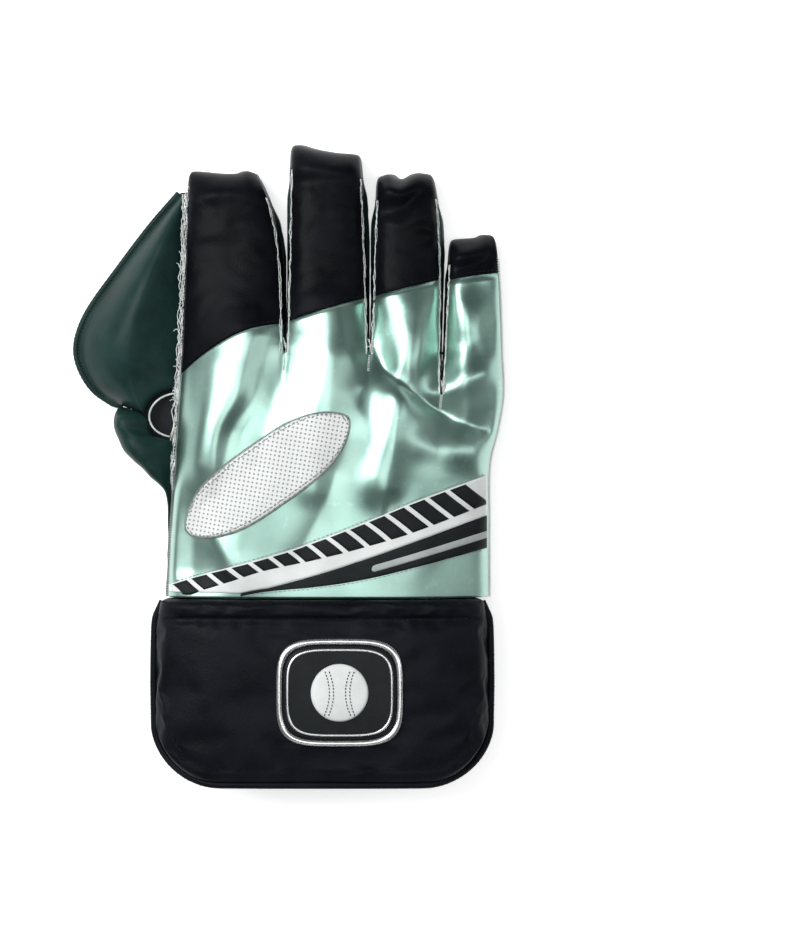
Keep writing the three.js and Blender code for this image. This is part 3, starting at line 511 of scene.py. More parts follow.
def add_modifier(piece, kind, **values):
    modifier = piece.modifiers.new(kind.title(), kind)
    for key, value in values.items():
        setattr(modifier, key, value)
    return modifier


def weld(piece, distance=2e-6):
    bm = bmesh.new()
    bm.from_mesh(piece.data)
    bmesh.ops.remove_doubles(bm, verts=bm.verts, dist=distance)
    bm.to_mesh(piece.data)
    bm.free()


def path_frames(points):
    """Tangent and two side directions at each point of a path."""
    tangent = np.gradient(points, axis=0)
    tangent /= np.maximum(np.linalg.norm(tangent, axis=1, keepdims=True), 1e-9)
    side = np.zeros_like(points)
    reference = np.array([0.0, 0.0, 1.0]) if abs(tangent[0][2]) < 0.9 else np.array([1.0, 0.0, 0.0])
    current = np.cross(tangent[0], reference)
    for k in range(len(points)):
        current = current - tangent[k] * current.dot(tangent[k])
        current /= np.linalg.norm(current)
        side[k] = current
    return tangent, side, np.cross(tangent, side)


def resample(points, step):
    """The path with points an even step apart."""
    points = np.asarray(points, float)
    lengths = np.linalg.norm(np.diff(points, axis=0), axis=1)
    keep = np.concatenate([[True], lengths > 1e-6])
    points = points[keep]
    along = np.concatenate([[0], np.cumsum(np.linalg.norm(np.diff(points, axis=0), axis=1))])
    count = max(2, int(round(along[-1] / step)) + 1)
    places = np.linspace(0, along[-1], count)
    return np.stack([np.interp(places, along, points[:, axis]) for axis in range(3)], axis=1)


def smooth_path(points, rounds=2):
    points = np.asarray(points, float).copy()
    for _ in range(rounds):
        points[1:-1] = (points[:-2] + 2 * points[1:-1] + points[2:]) / 4
    return points


def tube_part(points, radius, sides):
    """Vertices and faces of a round tube with closed ends."""
    _, side, up = path_frames(points)
    radius = np.broadcast_to(np.asarray(radius, float), (len(points),))
    angles = np.arange(sides) * 2 * np.pi / sides
    ring = side[:, None, :] * np.cos(angles)[None, :, None] + up[:, None, :] * np.sin(angles)[None, :, None]
    vertices = (points[:, None, :] + ring * radius[:, None, None]).reshape(-1, 3)
    faces = []
    for j in range(len(points) - 1):
        for i in range(sides):
            a, b = j * sides + i, j * sides + (i + 1) % sides
            faces.append((a, b, b + sides, a + sides))
    faces.append(tuple(range(sides - 1, -1, -1)))
    last = (len(points) - 1) * sides
    faces.append(tuple(last + i for i in range(sides)))
    return vertices, faces


def join_parts(name, parts, material, smooth=True):
    """One object out of many parts, each given as vertices in millimetres and faces."""
    vertices, faces, start = [], [], 0
    for part_vertices, part_faces in parts:
        vertices.append(part_vertices)
        faces.extend(tuple(i + start for i in face) for face in part_faces)
        start += len(part_vertices)
    return make_object(name, to_frame(np.concatenate(vertices)), faces, material, smooth)


STITCH_RINGS = ((-1, 0.3), (-0.82, 0.8), (-0.3, 1.0), (0.3, 1.0), (0.82, 0.8), (1, 0.3))


def stitch_part(start, end, radius, lift, sides=6):
    """One stitch from start to end that arches a little off the leather, along lift."""
    middle, half = (start + end) / 2, (end - start) / 2
    points = []
    radii = []
    for along, share in STITCH_RINGS:
        points.append(middle + half * along + lift * radius * 0.5 * (1 - along**2))
        radii.append(radius * share)
    return tube_part(np.array(points), np.array(radii), sides)


def stitch_row(path, ups, pitch, share, radius):
    """Stitches along a path that lies on a surface, with the way up at each point."""
    length = np.concatenate([[0], np.cumsum(np.linalg.norm(np.diff(path, axis=0), axis=1))])
    count = int(length[-1] // pitch)
    parts = []
    for k in range(count):
        places = np.array([k * pitch, k * pitch + pitch * share])
        ends = [np.array([np.interp(p, length, path[:, a]) for a in range(3)]) for p in places]
        up = np.array([np.interp(places[0], length, ups[:, a]) for a in range(3)])
        parts.append(stitch_part(ends[0] + up * radius * 0.3, ends[1] + up * radius * 0.3, radius, up))
    return parts


def winding(path, radius, pitch, thread, turn_points=9, sides=5, seed=0):
    """A thread wound round an edge, as an overlock stitch lies."""
    path = resample(path, pitch / turn_points)
    _, side, up = path_frames(path)
    angle = np.arange(len(path)) * 2 * np.pi / turn_points
    wobble = 1 + 0.16 * noise(np.arange(len(path)) / 17.0, np.zeros(len(path)), 40 + seed)
    reach = (radius * wobble)[:, None]
    helix = path + side * np.cos(angle)[:, None] * reach + up * np.sin(angle)[:, None] * reach
    return tube_part(helix, thread, sides)


# Materials


def new_material(name):
    material = bpy.data.materials.new(name)
    material.use_nodes = True
    return material, material.node_tree.nodes, material.node_tree.links


def noise_node(nodes, links, coords, scale, detail=3.0):
    node = nodes.new("ShaderNodeTexNoise")
    node.inputs["Scale"].default_value = scale
    node.inputs["Detail"].default_value = detail
    links.new(coords, node.inputs["Vector"])
    return node.outputs["Fac"]


def map_range(nodes, links, value, low, high, to_low, to_high):
    node = nodes.new("ShaderNodeMapRange")
    for name, number in zip(("From Min", "From Max", "To Min", "To Max"), (low, high, to_low, to_high)):
        node.inputs[name].default_value = number
    links.new(value, node.inputs["Value"])
    return node.outputs["Result"]


def mix_colour(nodes, links, factor, first, second):
    node = nodes.new("ShaderNodeMix")
    node.data_type = "RGBA"
    a, b = [s for s in node.inputs if s.type == "RGBA"]
    for socket, value in ((a, first), (b, second)):
        if isinstance(value, tuple):
            socket.default_value = (*value, 1.0)
        else:
            links.new(value, socket)
    links.new(factor, node.inputs[0])
    return [s for s in node.outputs if s.type == "RGBA"][0]


def math_node(nodes, links, operation, first, second=None):
    node = nodes.new("ShaderNodeMath")
    node.operation = operation
    for socket, value in zip(node.inputs, (first, second)):
        if value is None:
            continue
        if isinstance(value, (int, float)):
            socket.default_value = value
        else:
            links.new(value, socket)
    return node.outputs[0]


def add_bump(nodes, links, height, strength, depth):
    """Relief of a material's surface, depth in millimetres."""
    bump = nodes.new("ShaderNodeBump")
    bump.inputs["Strength"].default_value = strength
    bump.inputs["Distance"].default_value = depth / 1000
    links.new(height, bump.inputs["Height"])
    links.new(bump.outputs["Normal"], nodes["Principled BSDF"].inputs["Normal"])


def leather_material(
    name, dark, light, roughness, metallic=0.0, grain=1.2, depth=0.12, mottle=55, coat=0.0, wear=None,
    gloss=0.36,
):
    """Grained leather: grain is the width of a pebble of it in millimetres."""
    material, nodes, links = new_material(name)
    bsdf = nodes["Principled BSDF"]
    coords = nodes.new("ShaderNodeTexCoord").outputs["Object"]
    cells = nodes.new("ShaderNodeTexVoronoi")
    cells.feature = "SMOOTH_F1"
    cells.inputs["Scale"].default_value = 1000 / grain
    cells.inputs["Smoothness"].default_value = 0.35
    links.new(coords, cells.inputs["Vector"])
    cloud = noise_node(nodes, links, coords, mottle, 5)
    fine = noise_node(nodes, links, coords, 900, 4)
    streak = noise_node(nodes, links, coords, 260, 6)
    shade = map_range(nodes, links, cloud, 0.3, 0.7, 0, 1)
    colour = mix_colour(nodes, links, shade, dark, light)
    if wear is not None:
        worn = map_range(nodes, links, streak, 0.6, 0.75, 0, 0.45)
        colour = mix_colour(nodes, links, worn, colour, wear)
    links.new(colour, bsdf.inputs["Base Color"])
    rough = map_range(nodes, links, cloud, 0.25, 0.75, roughness - 0.05, roughness + 0.09)
    links.new(rough, bsdf.inputs["Roughness"])
    bsdf.inputs["Metallic"].default_value = metallic
    bsdf.inputs["Specular IOR Level"].default_value = gloss
    bsdf.inputs["Coat Weight"].default_value = coat
    bsdf.inputs["Coat Roughness"].default_value = 0.25
    height = math_node(nodes, links, "MULTIPLY", cells.outputs["Distance"], 1.0)
    height = math_node(nodes, links, "ADD", height, math_node(nodes, links, "MULTIPLY", fine, 0.5))
    height = math_node(nodes, links, "ADD", height, math_node(nodes, links, "MULTIPLY", streak, 0.8))
    add_bump(nodes, links, height, 1.0, depth)
    return material


def perforated_material(name, light, dark, pitch, hole, tilt):
    """Light leather with a grid of punched holes, pitch and hole in millimetres."""
    material, nodes, links = new_material(name)
    bsdf = nodes["Principled BSDF"]
    coords = nodes.new("ShaderNodeTexCoord").outputs["Object"]
    mapping = nodes.new("ShaderNodeMapping")
    mapping.vector_type = "POINT"
    mapping.inputs["Rotation"].default_value = (0, 0, -math.radians(tilt + 45))
    mapping.inputs["Scale"].default_value = (1000 / pitch,) * 3
    links.new(coords, mapping.inputs["Vector"])
    split = nodes.new("ShaderNodeSeparateXYZ")
    links.new(mapping.outputs["Vector"], split.inputs["Vector"])
    squares = []
    for axis in ("X", "Y"):
        wrapped = math_node(nodes, links, "FRACT", split.outputs[axis])
        centred = math_node(nodes, links, "SUBTRACT", wrapped, 0.5)
        squares.append(math_node(nodes, links, "MULTIPLY", centred, centred))
    distance = math_node(nodes, links, "SQRT", math_node(nodes, links, "ADD", *squares))
    edge = hole / pitch / 2
    solid = map_range(nodes, links, distance, edge * 0.75, edge * 1.15, 0, 1)
    cloud = noise_node(nodes, links, coords, 120, 4)
    tone = mix_colour(nodes, links, cloud, tuple(0.86 * c for c in light), light)
    links.new(mix_colour(nodes, links, solid, dark, tone), bsdf.inputs["Base Color"])
    bsdf.inputs["Roughness"].default_value = 0.48
    fine = noise_node(nodes, links, coords, 1400, 3)
    height = math_node(nodes, links, "ADD", solid, math_node(nodes, links, "MULTIPLY", fine, 0.15))
    add_bump(nodes, links, height, 1.0, 0.4)
    return material


def metal_material(name, colour, roughness):
    material, nodes, links = new_material(name)
    bsdf = nodes["Principled BSDF"]
    coords = nodes.new("ShaderNodeTexCoord").outputs["Object"]
    cloud = noise_node(nodes, links, coords, 180, 5)
    rough = map_range(nodes, links, cloud, 0.3, 0.7, roughness - 0.06, roughness + 0.12)
    links.new(rough, bsdf.inputs["Roughness"])
    tone = mix_colour(nodes, links, cloud, tuple(0.82 * c for c in colour), colour)
    links.new(tone, bsdf.inputs["Base Color"])
    bsdf.inputs["Metallic"].default_value = 0.9
    fine = noise_node(nodes, links, coords, 700, 3)
    add_bump(nodes, links, fine, 0.4, 0.01)
    return material


def thread_material(name, dark, light, gloss=0.4, sheen=0.3):
    material, nodes, links = new_material(name)
    bsdf = nodes["Principled BSDF"]
    coords = nodes.new("ShaderNodeTexCoord").outputs["Object"]
    cloud = noise_node(nodes, links, coords, 320, 3)
    shade = map_range(nodes, links, cloud, 0.35, 0.65, 0, 1)
    links.new(mix_colour(nodes, links, shade, dark, light), bsdf.inputs["Base Color"])
    bsdf.inputs["Roughness"].default_value = 0.62
    bsdf.inputs["Specular IOR Level"].default_value = gloss
    bsdf.inputs["Sheen Weight"].default_value = sheen
    wave = nodes.new("ShaderNodeTexWave")
    wave.inputs["Scale"].default_value = 900
    wave.inputs["Distortion"].default_value = 2
    links.new(coords, wave.inputs["Vector"])
    add_bump(nodes, links, wave.outputs["Fac"], 0.6, 0.1)
    return material


SILVER = leather_material(
    "silver_leather", (0.25, 0.42, 0.36), (0.40, 0.60, 0.53), 0.32, metallic=0.92, grain=0.9, depth=0.008,
    coat=0.5, mottle=28, wear=(0.48, 0.66, 0.59), gloss=0.5,
)
BLACK = leather_material(
    "black_leather", (0.0025, 0.003, 0.004), (0.006, 0.007, 0.010), 0.36, grain=1.1, depth=0.05, gloss=0.05
)
GREEN = leather_material(
    "green_leather", (0.008, 0.027, 0.024), (0.016, 0.046, 0.041), 0.42,
    grain=1.3, depth=0.05, coat=0.03, gloss=0.12,
)
CUFF = leather_material(
    "cuff_leather", (0.003, 0.004, 0.006), (0.007, 0.008, 0.013), 0.46,
    grain=1.3, depth=0.08, mottle=70, gloss=0.08,
)
RUBBER_SKIN = leather_material(
    "palm_rubber", (0.010, 0.012, 0.017), (0.022, 0.025, 0.034), 0.62, grain=0.7, depth=0.08
)
WHITE_TRIM = leather_material(
    "white_trim", (0.70, 0.735, 0.72), (0.86, 0.885, 0.875), 0.42, grain=0.8, depth=0.05
)
DARK_TRIM = leather_material(
    "dark_trim", (0.007, 0.009, 0.010), (0.015, 0.018, 0.020), 0.40, grain=0.8, depth=0.05, gloss=0.12
)
GREY_TRIM = leather_material("grey_trim", (0.33, 0.37, 0.36), (0.46, 0.50, 0.49), 0.42, grain=0.8, depth=0.04)
VENT = perforated_material("vent_leather", (0.88, 0.90, 0.89), (0.30, 0.34, 0.33), 2.3, 0.95, PATCH_TILT)
METAL = metal_material("badge_silver", (0.78, 0.80, 0.79), 0.24)
LIGHT_THREAD = thread_material("light_thread", (0.56, 0.64, 0.60), (0.88, 0.92, 0.90))
WHITE_THREAD = thread_material("white_thread", (0.62, 0.66, 0.64), (0.90, 0.92, 0.91))
GREY_THREAD = thread_material("grey_thread", (0.22, 0.26, 0.25), (0.36, 0.41, 0.39))
BLACK_THREAD = thread_material(
    "black_thread", (0.004, 0.005, 0.006), (0.012, 0.013, 0.015), gloss=0.1, sheen=0.0
)


# Back of the hand and fingers

# Thickness of the leather, in millimetres
SKIN = 1.2
SLIT_ROOM = 0.2
STRAND_STEP = 0.6
SEAM_STITCH_AWAY = 1.6
SLIT_BULGE = 1.9
ACROSS = 30
PALM_SHARES = np.concatenate([np.linspace(0, 0.835, 74), np.linspace(0.835, 1, 16)[1:]])
SEAM_SHARES = np.linspace(0, 1, 12)
SHAFT_SHARES = np.linspace(0, 1, 46)
TURN_SHARES = np.linspace(0, 1, 15)[1:]


def silver_grid(k):
    u = np.linspace(0, 1, ACROSS + 1)[None, :]
    palm = palm_row_y(k, u, PALM_SHARES[:, None]) + 0 * u
    palm[0, :] = CLEARANCE
    seam = lerp(palm_row_y(k, u, 1.0) + 0 * u, seam_y(k, u) - CLEARANCE / 2, SEAM_SHARES[1:, None])
    y = np.concatenate([palm, seam])
    return back_point(k, u + 0 * y, y)


def black_grid(k):
    u = np.linspace(0, 1, ACROSS + 1)[None, :]
    shaft = lerp(seam_y(k, u) + CLEARANCE / 2, turn_y(k, u, 0.0), SHAFT_SHARES[:, None])
    turn = turn_y(k, u, TURN_SHARES[:, None])
    y = np.concatenate([shaft, turn])
    turns = np.concatenate([np.zeros(shaft.shape), TURN_SHARES[:, None] + 0 * turn])
    return back_point(k, u + 0 * y, y, turns)


def add_back():
    parts = []
    for k in range(len(FINGERS)):
        grid = silver_grid(k)
        parts.append((grid.reshape(-1, 3), grid_faces(*grid.shape[:2])))
    piece = join_parts("back_of_hand_leather", parts, SILVER)
    weld(piece)
    add_modifier(piece, "SOLIDIFY", thickness=SKIN / 1000, offset=-1)
    finish_piece(piece, "silver_leather", "back_panel")
    for k, finger in enumerate(FINGERS):
        grid = black_grid(k)
        part = (grid.reshape(-1, 3), grid_faces(*grid.shape[:2]))
        piece = join_parts(f"{finger['name']}_finger_leather", [part], BLACK)
        add_modifier(piece, "SOLIDIFY", thickness=SKIN / 1000, offset=-1)
        finish_piece(piece, "black_leather", f"finger_back_{finger['name']}")


def edge_path(k, side):
    """Edge of a finger from the top of the palm to the middle of its tip."""
    u = 0.0 if side < 0 else 1.0
    base = palm_row_y(k, u, 1.0)
    ys = lerp(base, seam_y(k, u), np.linspace(0, 1, 12)[1:])
    ys = np.concatenate([ys, lerp(seam_y(k, u), turn_y(k, u, 0.0), SHAFT_SHARES[1:])])
    shaft = back_point(k, u, ys)
    tip = back_point(k, u, turn_y(k, u, TURN_SHARES), TURN_SHARES)
    across = np.linspace(u, 0.5 + side * CLEARANCE / HAND_WIDTH, ACROSS // 2)[1:]
    front = back_point(k, across, turn_y(k, across, 1.0), 1.0)
    return np.concatenate([shaft, tip, front])


def palm_edge_path(k, side, from_share):
    u = 0.0 if side < 0 else 1.0
    shares = PALM_SHARES[PALM_SHARES > from_share - 1e-6]
    return back_point(k, u, np.maximum(CLEARANCE, palm_row_y(k, u, shares)))


def strip_shell(name, path, material, bulge=0.0):
    foot = RUBBER + CLEARANCE
    way = np.gradient(path, axis=0)
    way[:, 2] = 0
    way /= np.maximum(np.linalg.norm(way, axis=1, keepdims=True), 1e-9)
    inward = np.stack([way[:, 1], -way[:, 0], np.zeros(len(path))], axis=1)
    inward = smooth_path(inward, 4)
    top = np.maximum(path[:, 2] - SEAM_CLEARANCE, foot + 1)
    rows = np.linspace(0, 1, 9)
    outer = np.repeat(path[None], len(rows), axis=0)
    outer[:, :, 2] = lerp(foot, top[None, :], rows[:, None])
    height = top - foot
    belly = np.sin(np.pi * rows)[:, None] * 0.55 * billow(path[:, 1] / 8, path[:, 0] / 8, 21)[None, :]
    belly = np.maximum(belly * np.minimum(1, height / 12)[None, :], 0)
    belly = belly - np.sin(np.pi * rows)[:, None] ** 0.7 * np.broadcast_to(bulge, (len(path),))[None, :]
    outer += inward[None] * belly[:, :, None]
    inner = outer + inward[None] * SKIN
    return shell(name, outer[:, ::-1], inner[:, ::-1], material)


def slit_bulge(k, path):
    """How far the leather in a slit bellies towards the slit's middle, which closes it low down."""
    x, y = path[:, 0], path[:, 1]
    middle = (slit_edge(k, 1, y) + slit_edge(k, -1, y)) / 2
    room = np.clip(np.abs(x - middle) - SLIT_ROOM, 0, SLIT_BULGE)
    tips = np.where(x < middle, finger_reach(k), finger_reach(k + 1))
    return room * (1 - smoothstep(y, tips - 26, tips - 12))


def add_side_strips():
    piece = strip_shell("index_side_gusset", edge_path(0, -1), BLACK)
    finish_piece(piece, "black_leather", "gusset_index_side")
    for k in range(len(SLITS)):
        low = palm_edge_path(k, 1, SLITS[k]["start"])
        high = palm_edge_path(k + 1, -1, SLITS[k]["start"])[1:]
        path = np.concatenate([edge_path(k, 1)[::-1], low[::-1], high, edge_path(k + 1, -1)])
        name = f"fourchette_{FINGERS[k]['name']}_{FINGERS[k + 1]['name']}"
        piece = strip_shell(f"{name}_leather", path, GREEN, slit_bulge(k, path))
        finish_piece(piece, "green_leather", name)
    path = np.concatenate([palm_edge_path(3, 1, 0), edge_path(3, 1)])[::-1]
    piece = strip_shell("little_side_gusset", path, GREEN)
    finish_piece(piece, "green_leather", "gusset_little_side")


def raised(path, lift):
    return path + np.array([0.0, 0.0, lift])


def strand(path, sway, radius, seed):
    """A thread that runs along a path and wanders to both sides of it."""
    path = resample(path, STRAND_STEP)
    place = np.arange(len(path)) * STRAND_STEP
    across = noise(place / 6.5, np.full(len(path), seed * 1.3), seed)
    across = across + 0.5 * noise(place / 2.3, place * 0, seed + 1)
    lift = 0.3 * noise(place / 4, np.full(len(path), seed * 0.7), seed + 2)
    drift = np.stack([across, 0 * across, lift], axis=1) * sway
    return tube_part(path + drift, radius, 5)


def beside_slit(k, side, from_share, away):
    """Line on a finger's back, a little way in from its edge, up to the start of its tip."""
    shares = PALM_SHARES[PALM_SHARES > from_share - 1e-6]
    width = HAND_WIDTH * 0.25
    u = away / width if side < 0 else 1 - away / width
    base = palm_row_y(k, u, shares)
    shaft = lerp(palm_row_y(k, u, 1.0), turn_y(k, u, 0.0), np.linspace(0, 1, 60)[1:])
    return back_point(k, u, np.concatenate([base, shaft]))


def add_edge_stitching():
    """Overlocked thread along the edges of the fingers and the sides of the hand."""
    parts = []
    # The windings along the slit edges are real overlock thread, but their black colour is painted shade: it
    # gives the dark look of the shade down in each slit, between the light strands beside it.
    slit_shade_windings = []
    shaft = 11 + len(SHAFT_SHARES)
    for k in range(len(SLITS)):
        for finger, side in ((k, 1), (k + 1, -1)):
            path = np.concatenate([
                palm_edge_path(finger, side, SLITS[k]["start"])[:-1],
                edge_path(finger, side)[:shaft],
            ])
            path = raised(path, 0.25) - np.array([0.45 * side, 0.0, 0.0])
            slit_shade_windings.append(winding(path, 0.45, 1.3, 0.3, seed=10 * k + finger))
            for j, away in enumerate((1.3, 1.7)):
                beside = raised(beside_slit(finger, side, SLITS[k]["start"], away), 0.25)
                parts.append(strand(beside, 0.6, 0.27, 100 + 10 * k + 2 * finger + j))
    finish_piece(join_parts("slit_rolled_edges", slit_shade_windings, BLACK_THREAD), "green_leather")
    parts.append(winding(palm_edge_path(0, -1, 0)[:44], 0.8, 1.3, 0.24, seed=72))
    little_edge = np.concatenate([palm_edge_path(3, 1, 0), edge_path(3, 1)[:shaft]])
    parts.append(winding(little_edge, 0.75, 1.3, 0.24, seed=73))
    finish_piece(join_parts("edge_overlock_thread", parts, LIGHT_THREAD), "light_leather")
    index_edge = np.concatenate([palm_edge_path(0, -1, 0.45), edge_path(0, -1)[:shaft]])
    parts = [winding(raised(index_edge, 0.4), 0.9, 1.9, 0.24, seed=71)]
    for j in range(5):
        beside = raised(index_edge, 1.2) + np.array([0.8 - 0.75 * j, 0, 0])
        parts.append(strand(beside, 1.1, 0.26, 140 + j))
    finish_piece(join_parts("index_seam_thread", parts, WHITE_THREAD), "light_leather")


def curl(start, seed, length, lift):
    """A short loose end of thread."""
    count = 26
    s = np.arange(count)
    way = np.pi / 2 + 0.9 * (lattice(seed, 3.0, 5) - 0.5)
    angle = way + np.cumsum(0.3 * noise(s / 6.0, np.full(count, seed * 1.7), 61))
    step = length / count
    xs = start[0] + np.cumsum(np.cos(angle)) * step * 0.7
    ys = start[1] + np.cumsum(np.sin(angle)) * step
    zs = start[2] + lift * np.sin(np.pi * s / count) + 0.3
    return tube_part(np.stack([xs, ys, zs], axis=1), 0.2, 5)


def add_loose_threads():
    """Frayed ends that stand off the index finger's side seam and the knot at its foot."""
    edge = np.concatenate([palm_edge_path(0, -1, 0.9), edge_path(0, -1)[:60]])
    parts = []
    for k in range(110):
        place = edge[int(lattice(k, 1.0, 2) * (len(edge) - 1))]
        offset = np.array([-1.1 + 2.6 * lattice(k, 2.0, 3), 0, 1.2])
        parts.append(curl(place + offset, k + 0.37, 3 + 5 * lattice(k, 4.0, 6), 0.6))
    knot = edge[0] + np.array([0.6, 6, 0.8])
    for k in range(40):
        spread = np.array([lattice(k, 5.0, 8) - 0.5, lattice(k, 6.0, 8) - 0.5, 0.3])
        spread = spread * np.array([3.0, 8.0, 1.5])
        parts.append(curl(knot + spread, 50.2 + k, 3 + 3 * lattice(k, 7.0, 9), 0.8))
    for k, slit in enumerate(SLITS):
        foot = palm_edge_path(k, 1, slit["start"])[0]
        for j in range(5):
            parts.append(curl(foot + np.array([0.3, 1.0 + j, 0.8]), 90.1 + 7 * k + j, 4.0, 0.5))
    finish_piece(join_parts("loose_threads", parts, WHITE_THREAD), "light_leather")


def add_slit_points():
    """The stitched end of each slit, where both edges run into one point on the back."""
    parts = []
    for k, slit in enumerate(SLITS):
        start = slit["start"] * PALM_LENGTH
        ys = np.linspace(start, start - 9, 14)
        xs = slit_edge(k, 1, ys)
        path = np.stack([xs, ys, hand_height(xs, ys) + 0.25], axis=1)
        parts.append(winding(path, 0.6, 1.1, 0.24, seed=80 + k))
    finish_piece(join_parts("slit_end_thread", parts, LIGHT_THREAD), "light_leather")


def add_colour_seam():
    """Topstitching on the black leather beside the seam with the silver."""
    parts = []
    for k in range(len(FINGERS)):
        u = np.linspace(0.03, 0.97, 40)
        path = back_point(k, u, seam_y(k, u) + SEAM_STITCH_AWAY)
        beyond = back_point(k, u, seam_y(k, u) + SEAM_STITCH_AWAY + 0.5)
        up = np.cross(np.gradient(path, axis=0), beyond - path)
        up /= np.linalg.norm(up, axis=1, keepdims=True)
        parts.extend(stitch_row(path, up, 2.6, 0.72, 0.24))
    finish_piece(join_parts("colour_seam_stitches", parts, BLACK_THREAD), "black_leather")


# Thumb, web and armhole

THUMB_ROWS = [
    {"along": 0, "reach": -0.08, "seam_along": 0, "seam_reach": -1.13, "crown": 0.35, "edge": 0},
    {"along": 0.16, "reach": -0.05, "seam_along": 0.15, "seam_reach": -0.87, "crown": 0.35, "edge": 0.16},
    {"along": 0.31, "reach": 0, "seam_along": 0.3, "seam_reach": -0.55, "crown": 0.42, "edge": 0.31},
    {"along": 0.42, "reach": 0.1, "seam_along": 0.41, "seam_reach": -0.2, "crown": 0.62, "edge": 0.42},
    {"along": 0.5, "reach": 0.4, "seam_along": 0.49, "seam_reach": 0.08, "crown": 0.85, "edge": 0.5},
    {"along": 0.58, "reach": 0.77, "seam_along": 0.58, "seam_reach": 0.45, "crown": 1, "edge": 0.57},
    {"along": 0.655, "reach": 0.98, "seam_along": 0.65, "seam_reach": 0.7, "crown": 1, "arc": 0},
    {"along": 0.71, "reach": 1.07, "seam_along": 0.71, "seam_reach": 0.8, "crown": 0.95, "arc": 0.5},
    {"along": 0.755, "reach": 1.08, "seam_along": 0.755, "seam_reach": 0.84, "crown": 0.75, "arc": 1},
    {"along": 0.79, "reach": 1.04, "seam_along": 0.785, "seam_reach": 0.86, "crown": 0.4, "arc": 2},
]
WEB_ROWS = table(
    "along reach",
    (0, 0.6),
    (0.06, 0.79),
    (0.147, 0.93),
    (0.236, 1.0),
    (0.33, 0.99),
    (0.45, 0.89),
    (0.64, 0.625),
    (0.845, 0.32),
    (1, 0.055),
)
PALM_CORNER = {"along": 0.875, "reach": 0.86}
HANDLE_RISE = 1.7
WEB_EDGE_OVERLAP = 1.4
WEB_SKIN = 1.3
WEB_START = 0.8 * PALM_LENGTH
WEB_EDGE_HEIGHT = 2 * LEATHER + FLOOR_SKIN + 3 * CLEARANCE
FIRST_SEAM_SHARE = 0.35
ARMHOLE_TOP = float(lerp(palm_row_y(0, 0.0, 1.0), seam_y(0, 0.0), FIRST_SEAM_SHARE))
ARMHOLE_MIDDLE = ARMHOLE_TOP - ARMHOLE_LENGTH / 2


def beside_hand(reach, y, z):
    return np.array([float(hand_edge("left", y)) - reach, y, z])


def armhole_edge(turn, z):
    angle = turn * math.pi / 2
    y = ARMHOLE_MIDDLE - ARMHOLE_LENGTH / 2 * math.cos(angle)
    return beside_hand(CLEARANCE + ARMHOLE_WIDTH * math.sin(angle), y, z)


def thumb_inner_edge(row):
    if "edge" in row:
        y = max(CLEARANCE, row["edge"] * PALM_LENGTH)
        return beside_hand(CLEARANCE, y, SIDE_SEAM_HEIGHT - SEAM_CLEARANCE)
    if row["arc"] < 2:
        return armhole_edge(row["arc"], lerp(SIDE_SEAM_HEIGHT, ARMHOLE_RIM_HEIGHT, row["arc"]))
    return beside_hand(row["reach"] * THUMB_REACH - LEATHER, row["along"] * PALM_LENGTH, TIP_SEAM_HEIGHT)


def thumb_section(row, t):
    y = max(CLEARANCE, row["seam_along"] * PALM_LENGTH)
    seam = beside_hand(row["seam_reach"] * THUMB_REACH, y, FLOOR_SKIN)
    inner = thumb_inner_edge(row)
    contour = beside_hand(row["reach"] * THUMB_REACH, max(CLEARANCE, row["along"] * PALM_LENGTH), 0)
    low = (contour - (seam + inner) / 8) * 4 / 3
    high = low.copy()
    low[2] = FLOOR_SKIN
    high[2] = HANDLE_RISE * row["crown"] * THUMB_HEIGHT
    s = 1 - t
    weights = (s**3, 3 * s * s * t, 3 * s * t * t, t**3)
    return sum(w[:, None] * p[None] for w, p in zip(weights, (seam, low, high, inner)))


def refine_rows(grid, factor):
    """A grid with more rows, on smooth curves through the ones it has."""
    count = len(grid)
    rows = {"along": np.arange(count, dtype=float)}
    places = np.linspace(0, count - 1, (count - 1) * factor + 1)
    flat = grid.reshape(count, -1)
    columns = []
    for c in range(flat.shape[1]):
        rows["value"] = flat[:, c]
        columns.append(follow(rows, places, "value"))
    return np.stack(columns, axis=1).reshape(len(places), *grid.shape[1:])


def thumb_grid():
    t = np.linspace(0, 1, 49)
    grid = np.stack([thumb_section(row, t) for row in THUMB_ROWS])
    grid = refine_rows(grid, 9)
    normal = grid_normals(grid)
    fade = smoothstep(t[None, :], 0, 0.15) * (1 - smoothstep(t[None, :], 0.85, 1))
    rows = np.linspace(0, 1, len(grid))[:, None]
    fade = fade * smoothstep(rows, 0, 0.06) * (1 - smoothstep(rows, 0.94, 1))
    x, y = grid[..., 0], grid[..., 1]
    # Pleats run from the thumb's tip down into its side
    pleats = 0.8 * noise(x / 16 + y / 24, (x - y) / 13, 31) + 0.12 * billow(x / 6, y / 7, 32)
    return grid + normal * (fade * pleats)[..., None]


